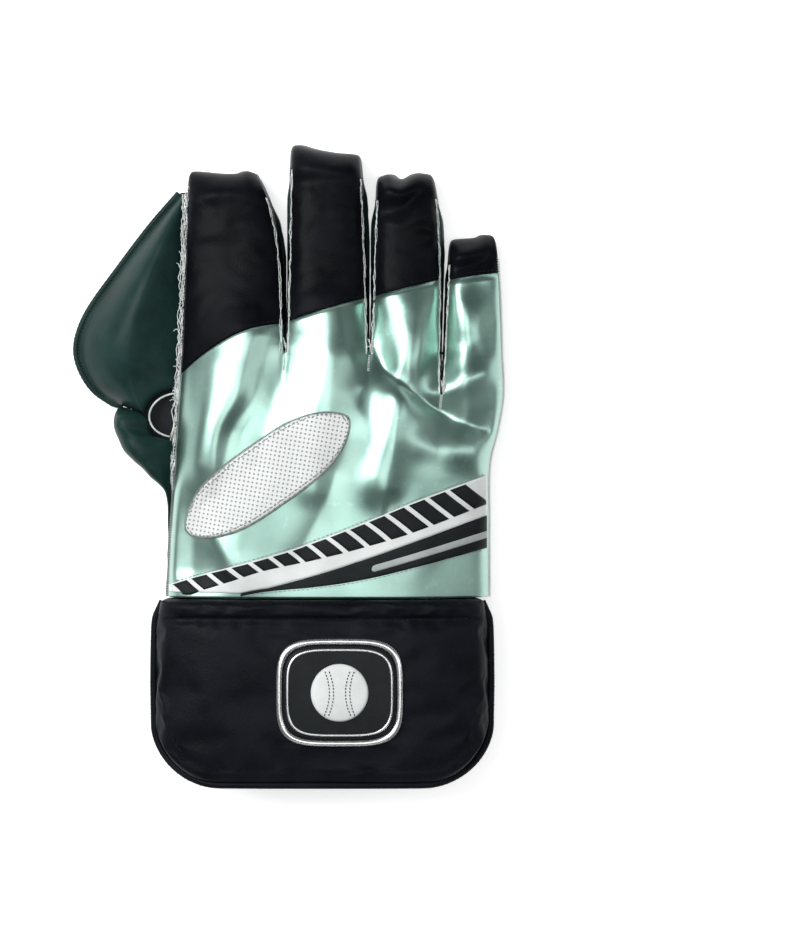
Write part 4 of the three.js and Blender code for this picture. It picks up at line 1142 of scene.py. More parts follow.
def web_sheets():
    def back_foot(u):
        start = beside_hand(0.6 * WEB_REACH, WEB_START, WEB_EDGE_HEIGHT)
        rim = armhole_edge(1, ARMHOLE_RIM_HEIGHT)
        rim[1] += CLEARANCE + SEAM_CLEARANCE
        if u <= 0.5:
            return lerp(start, rim, u * 2)
        point = armhole_edge(u * 2, lerp(rim[2], WEB_SEAM_HEIGHT, u * 2 - 1))
        share = (point[1] - ARMHOLE_MIDDLE) / (ARMHOLE_TOP - ARMHOLE_MIDDLE)
        point[1] = lerp(rim[1], ARMHOLE_TOP, share)
        return point

    def face_foot(u):
        start = beside_hand(0.6 * WEB_REACH, WEB_START, FLOOR_SKIN)
        corner_y = PALM_CORNER["along"] * PALM_LENGTH + CLEARANCE
        corner = beside_hand(PALM_CORNER["reach"] * THUMB_REACH, corner_y, FLOOR_SKIN)
        end = beside_hand(CLEARANCE, ARMHOLE_TOP + CLEARANCE, FLOOR_SKIN)
        return lerp(start, corner, u / 0.4) if u <= 0.4 else lerp(corner, end, (u - 0.4) / 0.6)

    back = {"outer": WEB_EDGE_HEIGHT, "inner": WEB_SEAM_HEIGHT, "top": WEB_TOP_HEIGHT}
    face = {"outer": FLOOR_SKIN, "inner": FLOOR_SKIN, "top": FLOOR_SKIN}
    back.update(rise=WEB_RISE, foot=back_foot)
    face.update(rise=0.35 * WEB_RISE, foot=face_foot)
    return back, face


def web_point(u, v, sheet):
    def outer(t):
        reach = float(follow(WEB_ROWS, t, "reach")) * WEB_REACH
        return beside_hand(reach, WEB_START + t * WEB_LENGTH, sheet["outer"])

    def inner(t):
        y = lerp(sheet["foot"](1)[1], WEB_START + WEB_LENGTH, t)
        return beside_hand(CLEARANCE, y, lerp(sheet["inner"], sheet["top"], t))

    across = lerp(outer(v), inner(v), u)
    up = lerp(sheet["foot"](u), lerp(outer(1), inner(1), u), v)
    corners = lerp(lerp(outer(0), inner(0), u), lerp(outer(1), inner(1), u), v)
    point = across + up - corners
    point[2] += sheet["rise"] * math.sin(math.pi * u) * math.sin(math.pi * min(max(v, 0), 1)) ** 0.6
    return point


def web_grid(sheet, cells=44):
    places = np.linspace(0, 1, cells + 1)
    grid = np.array([[web_point(u, v, sheet) for u in places] for v in places])
    # The corner at the foot of the web fades out in the sheet above it
    share = smoothstep(places, 0.0, 0.3)[:, None]
    for _ in range(60):
        z = grid[..., 2]
        even = (z[:, :-2] + z[:, 2:]) / 2
        z[:, 1:-1] = lerp(z[:, 1:-1], even, 0.5 * share)
    arch = np.sin(np.pi * places)
    grid[..., 2] += sheet["rise"] * 0.75 * share * arch[None, :] * arch[:, None]
    return grid


def add_thumb_and_web():
    outer = thumb_grid()
    normal = grid_normals(outer)
    normal[:, 0] = (0, 0, -1)
    piece = shell("thumb_leather", outer, outer - normal * SKIN, GREEN)
    finish_piece(piece, "green_leather", "thumb_back")

    back, face = web_sheets()
    grid = web_grid(back)
    edge_u = np.linspace(0, 1, grid.shape[1])[None, :]
    edge_v = np.linspace(0, 1, grid.shape[0])[:, None]
    fade = smoothstep(edge_u, 0, 0.12) * (1 - smoothstep(edge_u, 0.9, 1)) * smoothstep(edge_v, 0, 0.1)
    fade = fade * (1 - smoothstep(edge_v, 0.93, 1))
    x, y = grid[..., 0], grid[..., 1]
    swell = 1.5 * noise(x / 30, y / 42, 33) + 0.5 * billow(x / 14 + y / 40, y / 18, 34)
    pulls = 0.5 * np.sin((x + 2 * y) / 3.1) * np.exp(-edge_v * 9) * fade
    outer = grid.copy()
    outer[..., 2] += fade * swell + pulls
    outer[:, 0, 0] -= WEB_EDGE_OVERLAP
    inner = outer.copy()
    inner[..., 2] -= WEB_SKIN
    piece = shell("web_back_leather", outer, inner, GREEN)
    finish_piece(piece, "green_leather", "web_back")

    low = web_grid(face)
    low[:, 0, 0] -= WEB_EDGE_OVERLAP
    high = low.copy()
    high[..., 2] += WEB_SKIN
    piece = shell("web_palm_rubber", high, low, RUBBER_SKIN)
    finish_piece(piece, "palm_rubber", "web_face")

    t = np.linspace(0, 1, 90)
    reach = follow(WEB_ROWS, t, "reach") * WEB_REACH + BINDING_RADIUS + 2 * SEAM_CLEARANCE
    ys = WEB_START + t * WEB_LENGTH
    path = np.stack([hand_edge("left", ys) - reach, ys, np.full(len(t), WEB_EDGE_HEIGHT / 2)], axis=1)
    tuck = path[:1] + np.array([[5.0, -0.8, 0.0]])
    rope = smooth_path(resample(np.concatenate([tuck, path]), 0.8), 2)
    ribs = BINDING_RADIUS * (1 + 0.05 * np.sin(np.arange(len(rope)) * 1.9))
    piece = join_parts("web_rolled_edge", [tube_part(rope, ribs, 14)], GREEN)
    finish_piece(piece, "green_leather", "web_binding")
    rim = path.copy()
    rim[:, 0] += 1.9
    rim[:, 2] = WEB_EDGE_HEIGHT + 0.25
    parts = [winding(rim[3:-3], 0.35, 1.7, 0.18, seed=61)]
    finish_piece(join_parts("web_edge_thread", parts, BLACK_THREAD), "green_leather")

    turns = np.linspace(0.12, 1.88, 60)
    away = BINDING_RADIUS + 2 * SEAM_CLEARANCE
    hole = []
    for turn in turns:
        lift = math.sin(turn * math.pi / 2)
        point = armhole_edge(turn, lerp(SIDE_SEAM_HEIGHT, ARMHOLE_RIM_HEIGHT, lift))
        point[0] += lift * away
        point[1] += math.cos(turn * math.pi / 2) * away
        hole.append(point)
    hole = resample(np.array(hole), 0.5)
    parts = [tube_part(hole, BINDING_RADIUS * 0.3, 12)]
    parts.append(winding(hole, BINDING_RADIUS * 0.32, 1.1, 0.13, seed=62))
    finish_piece(join_parts("armhole_bound_edge", parts, LIGHT_THREAD), "light_leather", "armhole_binding")


# Palm


def copy_node(node, name, material):
    """A new piece with the shape of a node, to be finished further."""
    source = bpy.data.objects[node]
    piece = bpy.data.objects.new(name, source.data.copy())
    bpy.context.scene.collection.objects.link(piece)
    piece.data.materials.clear()
    piece.data.materials.append(material)
    return piece


EDGE_ROUND = 0.5
PIMPLE_PITCH = 2.9
PIMPLE_RADIUS = 0.95
PIMPLE_HEIGHT = 0.5
PIMPLE_MARGIN = 1.6
ROW_SHARE = 0.866


def pimple(x, y):
    """A small dome that hangs below the rubber."""
    sides = 6
    rings = ((1.0, 0.55), (0.8, 0.25), (0.42, 0.05))
    vertices = []
    for share, z in rings:
        for i in range(sides):
            angle = 2 * math.pi * i / sides
            reach = share * PIMPLE_RADIUS
            vertices.append((x + reach * math.cos(angle), y + reach * math.sin(angle), z))
    faces = []
    for j in range(len(rings) - 1):
        for i in range(sides):
            a, b = j * sides + i, j * sides + (i + 1) % sides
            faces.append((a, a + sides, b + sides, b))
    last = (len(rings) - 1) * sides
    faces.append(tuple(last + i for i in range(sides - 1, -1, -1)))
    faces.append(tuple(range(sides)))
    return np.array(vertices), faces


def add_palm():
    piece = copy_node("palm_face", "palm_rubber_face", RUBBER_SKIN)
    for vertex in piece.data.vertices:
        if vertex.co.z < 0.001:
            vertex.co.z = PIMPLE_HEIGHT / 1000
    add_modifier(piece, "BEVEL", width=EDGE_ROUND / 1000, segments=2, limit_method="ANGLE")
    finish_piece(piece, "palm_rubber", "palm_face")

    mesh = bpy.data.objects["palm_face"].data
    corners = [vertex.co.copy() for vertex in mesh.vertices]
    rubber = BVHTree.FromPolygons(corners, [tuple(face.vertices) for face in mesh.polygons])
    low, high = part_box("palm_face")
    margin = PIMPLE_MARGIN / 1000
    parts = []
    rows = int((high[1] - low[1]) * 1000 / (PIMPLE_PITCH * ROW_SHARE))
    columns = int((high[0] - low[0]) * 1000 / PIMPLE_PITCH)
    down = Vector((0, 0, -1))
    for j in range(rows):
        for i in range(columns):
            x = low[0] + (i + 0.5 * (j % 2)) * PIMPLE_PITCH / 1000
            y = low[1] + j * PIMPLE_PITCH * ROW_SHARE / 1000
            around = ((0, 0), (margin, 0), (-margin, 0), (0, margin), (0, -margin))
            if all(rubber.ray_cast(Vector((x + a, y + b, 0.1)), down)[0] is not None for a, b in around):
                parts.append(pimple((x - OFFSET[0]) * 1000, (y - OFFSET[1]) * 1000))
    finish_piece(join_parts("palm_pimples", parts, RUBBER_SKIN), "palm_rubber")

    piece = copy_node("palm_patch", "palm_crotch_patch", WHITE_TRIM)
    add_modifier(piece, "BEVEL", width=EDGE_ROUND / 1000, segments=2, limit_method="ANGLE")
    finish_piece(piece, "light_leather", "palm_patch")


# Cuff

CUFF_ROWS = table(
    "along width swell",
    (0, 0.965, 0.05),
    (0.03, 0.975, 0.36),
    (0.08, 0.985, 0.34),
    (0.105, 0.99, 0.02),
    (0.15, 0.995, 0.22),
    (0.35, 1, 0.36),
    (0.65, 1, 0.34),
    (0.88, 0.99, 0.2),
    (1, 0.98, 0.05),
)
# Share of the cuff's length down to its stitched groove
GROOVE = 0.105
FULL_SWELL = 0.36
HEM_STITCH_INSET = 7.0
PIPING_SUNK = 0.7
# How far a seam and the badge hold the leather down beside them
HELD_HALF_WIDTH = 1.4
HELD_ROUND_BADGE = 1.5
# Places in the noise where the creases of the two pads are taken from
BACK_SEED = 50
PALM_SEED = 60
PAD_PRESSURE = 4.0
PAD_SLACK = 0.008
PAD_FRAMES = 20
PAD_MOST = 4.0
BADGE_OFFSET = 0.055 * CUFF_WIDTH
BADGE_ALONG = 0.503
BADGE_ROUNDNESS = 4
BADGE_SIDES = 120


def cuff_half_width(y):
    return CUFF_WIDTH / 2 * follow(CUFF_ROWS, -np.asarray(y) / CUFF_LENGTH, "width")


def cuff_hem(x):
    straight = CUFF_WIDTH / 2 - CUFF_CORNER
    past = np.clip((np.abs(x - CUFF_MIDDLE) - straight) / CUFF_CORNER, 0, 1)
    return -CUFF_LENGTH + CUFF_CORNER * (1 - np.sqrt(1 - past * past))


def hem_stitch_y(x):
    """Where the line of stitches along the hem lies."""
    scale = (CUFF_WIDTH / 2) / (CUFF_WIDTH / 2 - HEM_STITCH_INSET)
    return cuff_hem(CUFF_MIDDLE + (x - CUFF_MIDDLE) * scale) + HEM_STITCH_INSET


def cuff_detail(x, y, seed):
    """Creases of the padded leather and the puckers along its stitched groove."""
    groove = np.exp(-(((y + GROOVE * CUFF_LENGTH) / 3.4) ** 2))
    puckers = 0.22 * np.sin(x / 1.6 + 2 * noise(x / 14, y / 30, seed)) * groove
    near_top = np.exp(-(((y + 0.05 * CUFF_LENGTH) / 3.0) ** 2))
    roll = near_top * 0.25 * np.sin(x / 3.1 + 3 * noise(x / 20, y / 20, seed + 1))
    slack = 0.7 * noise(x / 42, y / 30, seed + 2) + 0.12 * billow(x / 16, y / 12, seed + 3)
    fine = 0.04 * billow(x / 4.2, y / 3.4, seed + 4)
    inside = smoothstep(-y, GROOVE * CUFF_LENGTH, 0.25 * CUFF_LENGTH)
    return puckers + roll + (slack * inside + fine)


def cuff_half_section(y, inset):
    swell = CUFF_PAD * (follow(CUFF_ROWS, -np.asarray(y) / CUFF_LENGTH, "swell") - FULL_SWELL)
    return cuff_half_width(y) - inset, CUFF_HEIGHT / 2 + swell - inset


def cuff_fade(x, y):
    across = np.minimum(1, np.abs(x - CUFF_MIDDLE) / cuff_half_width(y))
    return 1 - smoothstep(across, 0.8, 1)


def smooth_cuff_height(x, y):
    """The cuff under the badge, which its stiff plate presses even."""
    width, height = cuff_half_section(y, 0)
    across = np.minimum(1, np.abs(x - CUFF_MIDDLE) / width)
    return CUFF_HEIGHT / 2 + height * (1 - across**CUFF_ROUNDNESS) ** (1 / CUFF_ROUNDNESS)


def cuff_top_height(x, y):
    return smooth_cuff_height(x, y) + cuff_detail(x, y, BACK_SEED) * cuff_fade(x, y)


def cuff_point(side, u, share, inset):
    angle = np.pi * (1 - u)
    cosine = np.cos(angle)
    across = np.sign(cosine) * np.abs(cosine) ** (2 / CUFF_ROUNDNESS)
    widest = CUFF_MIDDLE + across * CUFF_WIDTH / 2
    y = lerp(-CLEARANCE, cuff_hem(widest), share)
    width, full = cuff_half_section(y, inset)
    rise = np.abs(np.sin(angle)) ** (2 / CUFF_ROUNDNESS)
    gap = CLEARANCE / 2
    height = full if side > 0 else CUFF_HEIGHT / 2 - inset - gap
    z = CUFF_HEIGHT / 2 + side * (height * rise + gap)
    return np.stack(np.broadcast_arrays(CUFF_MIDDLE + across * width, y, z), axis=-1)


def cuff_grid(side, inset):
    u = np.linspace(0, 1, 141)
    spread = 0.5 - 0.5 * np.cos(np.pi * u)
    u = lerp(u, spread, 0.35)
    if side < 0:
        u = u[::-1]
    ends = np.linspace(0, 0.16, 22), np.linspace(0.16, 0.9, 50)[1:], np.linspace(0.9, 1, 9)[1:]
    shares = np.concatenate(ends)
    grid = cuff_point(side, u[None, :], shares[::-1, None], inset)
    if inset == 0:
        x, y = grid[..., 0], grid[..., 1]
        if side > 0:
            grid[..., 2] += cuff_detail(x, y, BACK_SEED) * cuff_fade(x, y)
        else:
            grid[..., 2] += np.maximum(cuff_detail(x, y, PALM_SEED), 0) * cuff_fade(x, y) * 0.5
    return grid


def round_hem(outer, inner):
    """The pad's outer face rolled over towards its inner one at the hem and at the top."""
    rolled = outer.copy()
    for row, share in ((0, 0.30), (1, 0.16), (2, 0.07), (3, 0.02)):
        rolled[row] = lerp(outer[row], inner[row], share)
        rolled[-1 - row] = lerp(outer[-1 - row], inner[-1 - row], share)
    return rolled


def held_points(side, outer):
    """Which points of a pad's outer face its seams and its badge hold down."""
    x, y = outer[..., 0], outer[..., 1]
    held = np.zeros(x.shape, bool)
    held[[0, 1, -1]] = True
    held[:, [0, 1, -2, -1]] = True
    held |= np.abs(y + GROOVE * CUFF_LENGTH) < HELD_HALF_WIDTH
    if side > 0:
        held |= np.abs(y - hem_stitch_y(x)) < HELD_HALF_WIDTH
        across = np.abs(x - CUFF_MIDDLE - BADGE_OFFSET) / (BADGE_WIDTH / 2 + HELD_ROUND_BADGE)
        along = np.abs(y + BADGE_ALONG * CUFF_LENGTH) / (BADGE_HEIGHT / 2 + HELD_ROUND_BADGE)
        held |= across**BADGE_ROUNDNESS + along**BADGE_ROUNDNESS < 1
    return held


def pressed_out(side, outer, inner):
    """Shift of a pad's outer face, in millimetres, when the filling presses it out between its seams."""
    rows = np.append(np.arange(0, outer.shape[0] - 1, 2), outer.shape[0] - 1)
    columns = np.arange(0, outer.shape[1], 2)
    coarse = outer[rows][:, columns]
    form = shell("pad_form", coarse, inner[rows][:, columns], CUFF)
    count = coarse.shape[0] * coarse.shape[1]
    group = form.vertex_groups.new(name="held")
    held = np.flatnonzero(held_points(side, coarse).ravel())
    group.add([int(k) for k in held] + list(range(count, 2 * count)), 1.0, "REPLACE")
    cloth = form.modifiers.new("Cloth", "CLOTH")
    cloth.settings.quality = 6
    cloth.settings.mass = 0.3
    cloth.settings.tension_stiffness = 15
    cloth.settings.compression_stiffness = 15
    cloth.settings.shear_stiffness = 8
    cloth.settings.bending_stiffness = 12
    cloth.settings.use_pressure = True
    cloth.settings.uniform_pressure_force = PAD_PRESSURE
    cloth.settings.shrink_min = -PAD_SLACK
    cloth.settings.shrink_max = -PAD_SLACK
    cloth.settings.effector_weights.gravity = 0
    cloth.settings.vertex_group_mass = "held"
    cloth.point_cache.frame_start = 1
    cloth.point_cache.frame_end = PAD_FRAMES
    scene = bpy.context.scene
    for moment in range(1, PAD_FRAMES + 1):
        scene.frame_set(moment)
    evaluated = form.evaluated_get(bpy.context.evaluated_depsgraph_get())
    pressed = evaluated.to_mesh()
    places = np.empty(len(pressed.vertices) * 3)
    pressed.vertices.foreach_get("co", places)
    evaluated.to_mesh_clear()
    bpy.data.objects.remove(form)
    scene.frame_set(1)
    shift = (places.reshape(-1, 3)[:count] - to_frame(coarse.reshape(-1, 3))) * 1000
    size = np.linalg.norm(shift, axis=1, keepdims=True)
    shift *= np.minimum(1, PAD_MOST / np.maximum(size, 1e-6))
    shift = shift.reshape(coarse.shape)
    every_row, every_column = np.arange(outer.shape[0]), np.arange(outer.shape[1])
    fine = np.empty(outer.shape)
    for axis in range(3):
        wide = np.stack([np.interp(every_column, columns, row[:, axis]) for row in shift])
        tall = [np.interp(every_row, rows, wide[:, i]) for i in every_column]
        fine[..., axis] = np.stack(tall, axis=1)
    return fine


def add_cuff():
    for side, name, node in ((1, "cuff_back_pad", "cuff_back"), (-1, "cuff_palm_pad", "cuff_palm")):
        outer, inner = cuff_grid(side, 0), cuff_grid(side, CUFF_PAD)
        outer = outer + pressed_out(side, outer, inner)
        outer[..., 2] = np.maximum(outer[..., 2], 0)
        piece = shell(name, round_hem(outer, inner), inner, CUFF)
        finish_piece(piece, "cuff_leather", node)
    for side, name, node in ((1, "back", "cuff_back_piping"), (-1, "palm", "cuff_palm_piping")):
        path = cuff_piping_path(side)
        rope = smooth_path(resample(path, 1.0), 3)
        piece = join_parts(f"cuff_{name}_piping_cord", [tube_part(rope, CUFF_PIPING_RADIUS * 1.15, 14)], CUFF)
        finish_piece(piece, "cuff_leather", node)
        parts = [winding(rope, CUFF_PIPING_RADIUS * 1.13, 2.4, 0.16, seed=90 + side)]
        finish_piece(join_parts(f"cuff_{name}_piping_thread", parts, BLACK_THREAD), "dark_trim")


def hem_way(x, y):
    past = abs(x - CUFF_MIDDLE) - (CUFF_WIDTH / 2 - CUFF_CORNER)
    if past <= 0:
        return np.array([0.0, -1.0, 0.0])
    down = max(0.0, -CUFF_LENGTH + CUFF_CORNER - y)
    way = np.array([math.copysign(past, x - CUFF_MIDDLE), -down, 0.0])
    return way / np.linalg.norm(way)


def cuff_piping_path(side):
    away = CUFF_PIPING_RADIUS + CLEARANCE - PIPING_SUNK
    height = CUFF_HEIGHT / 2 + side * (CUFF_PIPING_RADIUS + CLEARANCE)
    length = CUFF_LENGTH - CUFF_CORNER

    def side_point(sign, y):
        tucked = 1.6 * away * (1 - float(smoothstep(-y / length, 0.03, 0.16)))
        return np.array([CUFF_MIDDLE + sign * (float(cuff_half_width(y)) + away - tucked), y, height])

    left = [side_point(-1, -s * length) for s in np.linspace(0.03, 0.7, 12)]
    right = [side_point(1, -s * length) for s in np.linspace(0.7, 0.03, 12)]
    hem = []
    for u in np.linspace(0.02, 0.98, 60):
        point = cuff_point(side, np.array(u), 1.0, CUFF_PAD / 2).reshape(3).copy()
        way = hem_way(CUFF_MIDDLE + (point[0] - CUFF_MIDDLE) * 1.04, point[1])
        across = abs(way[0])
        point += way * (away + across * across * CUFF_PAD / 2)
        point[2] = lerp(point[2], height, across * across)
        hem.append(point)
    return np.array([*left, *hem, *right])


def draped(height, x, y, lift):
    """Points that lie lift above a surface given by its height, and the ways up there."""
    step = 0.6
    slope_x = (height(x + step, y) - height(x - step, y)) / (2 * step)
    slope_y = (height(x, y + step) - height(x, y - step)) / (2 * step)
    up = np.stack([-slope_x, -slope_y, np.ones(np.shape(slope_x))], axis=-1)
    up /= np.linalg.norm(up, axis=-1, keepdims=True)
    base = np.stack(np.broadcast_arrays(x, y, height(x, y)), axis=-1)
    return base + up * np.asarray(lift)[..., None], up


def cover(name, height, x, y, lift, thickness, material):
    """A thin layer laid on a surface, with its edges pressed down."""
    rows, columns = x.shape
    j = np.minimum(np.arange(rows), np.arange(rows)[::-1])[:, None]
    i = np.minimum(np.arange(columns), np.arange(columns)[::-1])[None, :]
    near = np.minimum(i, j)
    share = np.where(near == 0, 0.35, np.where(near == 1, 0.85, 1.0))
    outer, _ = draped(height, x, y, lift + thickness * share)
    inner, _ = draped(height, x, y, np.full(x.shape, float(lift)))
    return shell(name, outer, inner, material)


def add_cuff_stitching():
    rows = []
    half = float(cuff_half_width(-GROOVE * CUFF_LENGTH))
    xs = np.linspace(CUFF_MIDDLE - half + 4, CUFF_MIDDLE + half - 4, 260)
    path, up = draped(cuff_top_height, xs, np.full(len(xs), -GROOVE * CUFF_LENGTH), np.zeros(len(xs)))
    rows.extend(stitch_row(path, up, 3.1, 0.7, 0.33))
    xs = np.linspace(CUFF_MIDDLE - CUFF_WIDTH / 2 + 9, CUFF_MIDDLE + CUFF_WIDTH / 2 - 9, 320)
    path, up = draped(cuff_top_height, xs, hem_stitch_y(xs), np.zeros(len(xs)))
    rows.extend(stitch_row(path, up, 3.1, 0.7, 0.3))
    finish_piece(join_parts("cuff_stitches", rows, BLACK_THREAD), "cuff_leather")
    # The thread wound along the seam between hand and cuff is real, but its black colour is painted shadow:
    # it stands for the thin shadow line along that seam.
    xs = np.linspace(CUFF_MIDDLE - half + 3, CUFF_MIDDLE + half - 3, 260)
    path, _ = draped(cuff_top_height, xs, np.full(len(xs), -1.6), np.full(len(xs), 0.15))
    parts = [winding(path, 0.5, 2.1, 0.2, seed=97)]
    finish_piece(join_parts("cuff_seam_thread", parts, BLACK_THREAD), "cuff_leather")


# Badge


def badge_outline(share, angle, margin):
    power = 2 / BADGE_ROUNDNESS
    c, s = np.cos(angle), np.sin(angle)
    x = np.sign(c) * np.abs(c) ** power * (BADGE_WIDTH / 2 - margin)
    y = np.sign(s) * np.abs(s) ** power * (BADGE_HEIGHT / 2 - margin)
    return CUFF_MIDDLE + BADGE_OFFSET + share * x, share * y - BADGE_ALONG * CUFF_LENGTH


def ring_cover(name, profile, lift, material):
    """A closed ring round the badge: profile holds margin and height of each row."""
    angle = np.linspace(0, 2 * np.pi, BADGE_SIDES + 1)
    rows = []
    for margin, height in profile:
        x, y = badge_outline(1.0, angle, margin)
        point, _ = draped(smooth_cuff_height, x, y, np.full(len(angle), lift + height))
        rows.append(point)
    grid = np.array(rows)
    faces = []
    count = BADGE_SIDES
    grid = grid[:, :-1]
    for j in range(len(profile)):
        for i in range(count):
            a, b = j * count + i, j * count + (i + 1) % count
            c = ((j + 1) % len(profile)) * count
            faces.append((a, b, c + (i + 1) % count, c + i))
    return join_parts(name, [(grid.reshape(-1, 3), faces)], material)


def disc_faces(rings, sides):
    """Faces of rings of points, the outermost first, round one middle point."""
    faces = []
    for j in range(rings - 1):
        for i in range(sides):
            a, b = j * sides + i, j * sides + (i + 1) % sides
            faces.append((a, b, b + sides, a + sides))
    last = (rings - 1) * sides
    for i in range(sides):
        faces.append((last + i, last + (i + 1) % sides, rings * sides))
    return faces


def disc_grid(radius, rings, sides, height_at):
    """A domed disc of the badge's middle, and its faces."""
    vertices = []
    cx, cy = CUFF_MIDDLE + BADGE_OFFSET, -BADGE_ALONG * CUFF_LENGTH
    angle = np.arange(sides) * 2 * np.pi / sides
    for j in range(rings, 0, -1):
        share = j / rings
        x, y = cx + share * radius * np.cos(angle), cy + share * radius * np.sin(angle)
        point, _ = draped(smooth_cuff_height, x, y, np.full(sides, height_at(share)))
        vertices.append(point)
    centre, _ = draped(smooth_cuff_height, np.array([cx]), np.array([cy]), np.array([height_at(0)]))
    vertices.append(centre)
    return np.concatenate(vertices), disc_faces(rings, sides)


def add_badge():
    lift = 0.5
    rim_profile = (
        (0.0, 0.0), (-0.1, 0.7), (0.15, 1.5), (0.7, 2.1), (1.5, 2.3),
        (2.3, 2.1), (2.85, 1.5), (3.0, 0.7), (3.0, 0.0),
    )
    piece = ring_cover("badge_silver_rim", rim_profile, lift, METAL)
    finish_piece(piece, "badge_metal", "badge_rim")

    margin = BADGE_RIM_WIDTH + CLEARANCE
    angle = np.linspace(0, 2 * np.pi, BADGE_SIDES + 1)[:-1]
    vertices = []
    rings = 12
    for j in range(rings, 0, -1):
        x, y = badge_outline(j / rings, angle, margin)
        vertices.append(draped(smooth_cuff_height, x, y, np.full(BADGE_SIDES, lift + TRIM))[0])
    x, y = badge_outline(0.0, np.array([0.0]), margin)
    vertices.append(draped(smooth_cuff_height, x, y, np.array([lift + TRIM]))[0])
    plate = (np.concatenate(vertices), disc_faces(rings, BADGE_SIDES))
    piece = join_parts("badge_dark_plate", [plate], DARK_TRIM)
    add_modifier(piece, "SOLIDIFY", thickness=0.0006, offset=-1)
    finish_piece(piece, "dark_trim", "badge_plate")
    inner_line = ((5.2, 0.85), (5.25, 1.15), (5.8, 1.25), (6.3, 1.15), (6.35, 0.85))
    piece = ring_cover("badge_inner_line", inner_line, lift, METAL)
    finish_piece(piece, "badge_metal")

    dome_base = lift + 1.1

    def dome(share):
        return dome_base + 1.3 * np.sqrt(np.maximum(0, 1.02 - share * share))

    piece = join_parts("badge_ball_disc", [disc_grid(BADGE_BOSS_RADIUS, 14, 72, dome)], WHITE_TRIM)
    add_modifier(piece, "SOLIDIFY", thickness=0.0005, offset=-1)
    finish_piece(piece, "light_leather", "badge_boss")
    cx, cy = CUFF_MIDDLE + BADGE_OFFSET, -BADGE_ALONG * CUFF_LENGTH
    parts = []
    for side in (-1, 1):
        for row in (-1.1, 1.1):
            t = np.linspace(-0.86, 0.86, 40)
            x = cx + side * (4.2 + row + 3.6 * t * t)
            y = cy + t * (BADGE_BOSS_RADIUS - 1.2)
            share = np.hypot(x - cx, y - cy) / BADGE_BOSS_RADIUS
            path, up = draped(smooth_cuff_height, x, y, dome(share))
            parts.extend(stitch_row(path, up, 1.75, 0.62, 0.26))
    finish_piece(join_parts("badge_ball_stitches", parts, BLACK_THREAD), "dark_trim")


# Trim on the back

PATCH_ALONG = 0.505
PATCH_ACROSS = -0.06


def patch_plan(s, w):
    """Place of a point of the leaf-shaped patch: s along it, w across, both -1 to 1."""
    half = PATCH_WIDTH / 2 * (1.02 - np.abs(s) ** 3) ** 0.7
    turn = math.radians(PATCH_TILT)
    a, b = s * PATCH_LENGTH / 2, w * half
    x = a * math.cos(turn) - b * math.sin(turn) + PATCH_ACROSS * HAND_WIDTH
    return x, a * math.sin(turn) + b * math.cos(turn) + PATCH_ALONG * PALM_LENGTH


def add_patch():
    s, w = np.meshgrid(np.linspace(-1, 1, 110), np.linspace(-1, 1, 38))
    x, y = patch_plan(s, w)
    lift = DRAPE_CLEARANCE - 0.4
    piece = cover("perforated_vent_leaf", hand_height, x, y, lift, TRIM, VENT)
    finish_piece(piece, "light_leather", "vent_patch")
    rows = []
    edge_threads = []
    for inset, radius, bucket in ((0.0, 0.55, edge_threads), (1.9, 0.28, rows)):
        share = 1 - 2 * inset / PATCH_WIDTH
        long_share = 1 - 2 * inset / PATCH_LENGTH
        t = np.linspace(-long_share, long_share, 150)
        s = np.concatenate([t, t[::-1]])
        w = np.concatenate([-np.full(150, share), np.full(150, share)])
        x, y = patch_plan(s, w)
        height = lift + TRIM if inset else lift + 0.35
        path, up = draped(hand_height, x, y, np.full(300, height))
        path = np.concatenate([path, path[:1]])
        up = np.concatenate([up, up[:1]])
        if inset:
            bucket.extend(stitch_row(path, up, 2.3, 0.68, radius))
        else:
            bucket.append(winding(path, radius, 0.85, 0.24, seed=66))
    finish_piece(join_parts("vent_leaf_stitches", rows, GREY_THREAD), "grey_trim")
    finish_piece(join_parts("vent_leaf_edge_thread", edge_threads, GREY_THREAD), "grey_trim")


BAND_ROWS = table(
    "along top light dark foot",
    (-0.37, 0.053, -0.02, -0.07, -0.075),
    (-0.203, 0.119, 0.053, -0.005, -0.01),
    (-0.076, 0.165, 0.109, 0.04, 0.028),
    (0.085, 0.234, 0.155, 0.098, 0.049),
    (0.23, 0.308, 0.205, 0.16, 0.078),
    (0.378, 0.39, 0.264, 0.229, 0.124),
    (0.61, 0.505, 0.382, 0.341, 0.205),
)


def band_line(line, x):
    return np.maximum(PALM_LENGTH * follow(BAND_ROWS, np.asarray(x) / HAND_WIDTH, line), 4 * CLEARANCE)


def band_strip(name, from_x, to_x, columns, rows, lower, upper, lift, thickness, material):
    u, v = np.meshgrid(np.linspace(0, 1, columns), np.linspace(0, 1, rows))
    x = lerp(from_x, to_x, u)
    y = lerp(lower(x), upper(x), v)
    return cover(name, hand_height, x, y, lift, thickness, material)


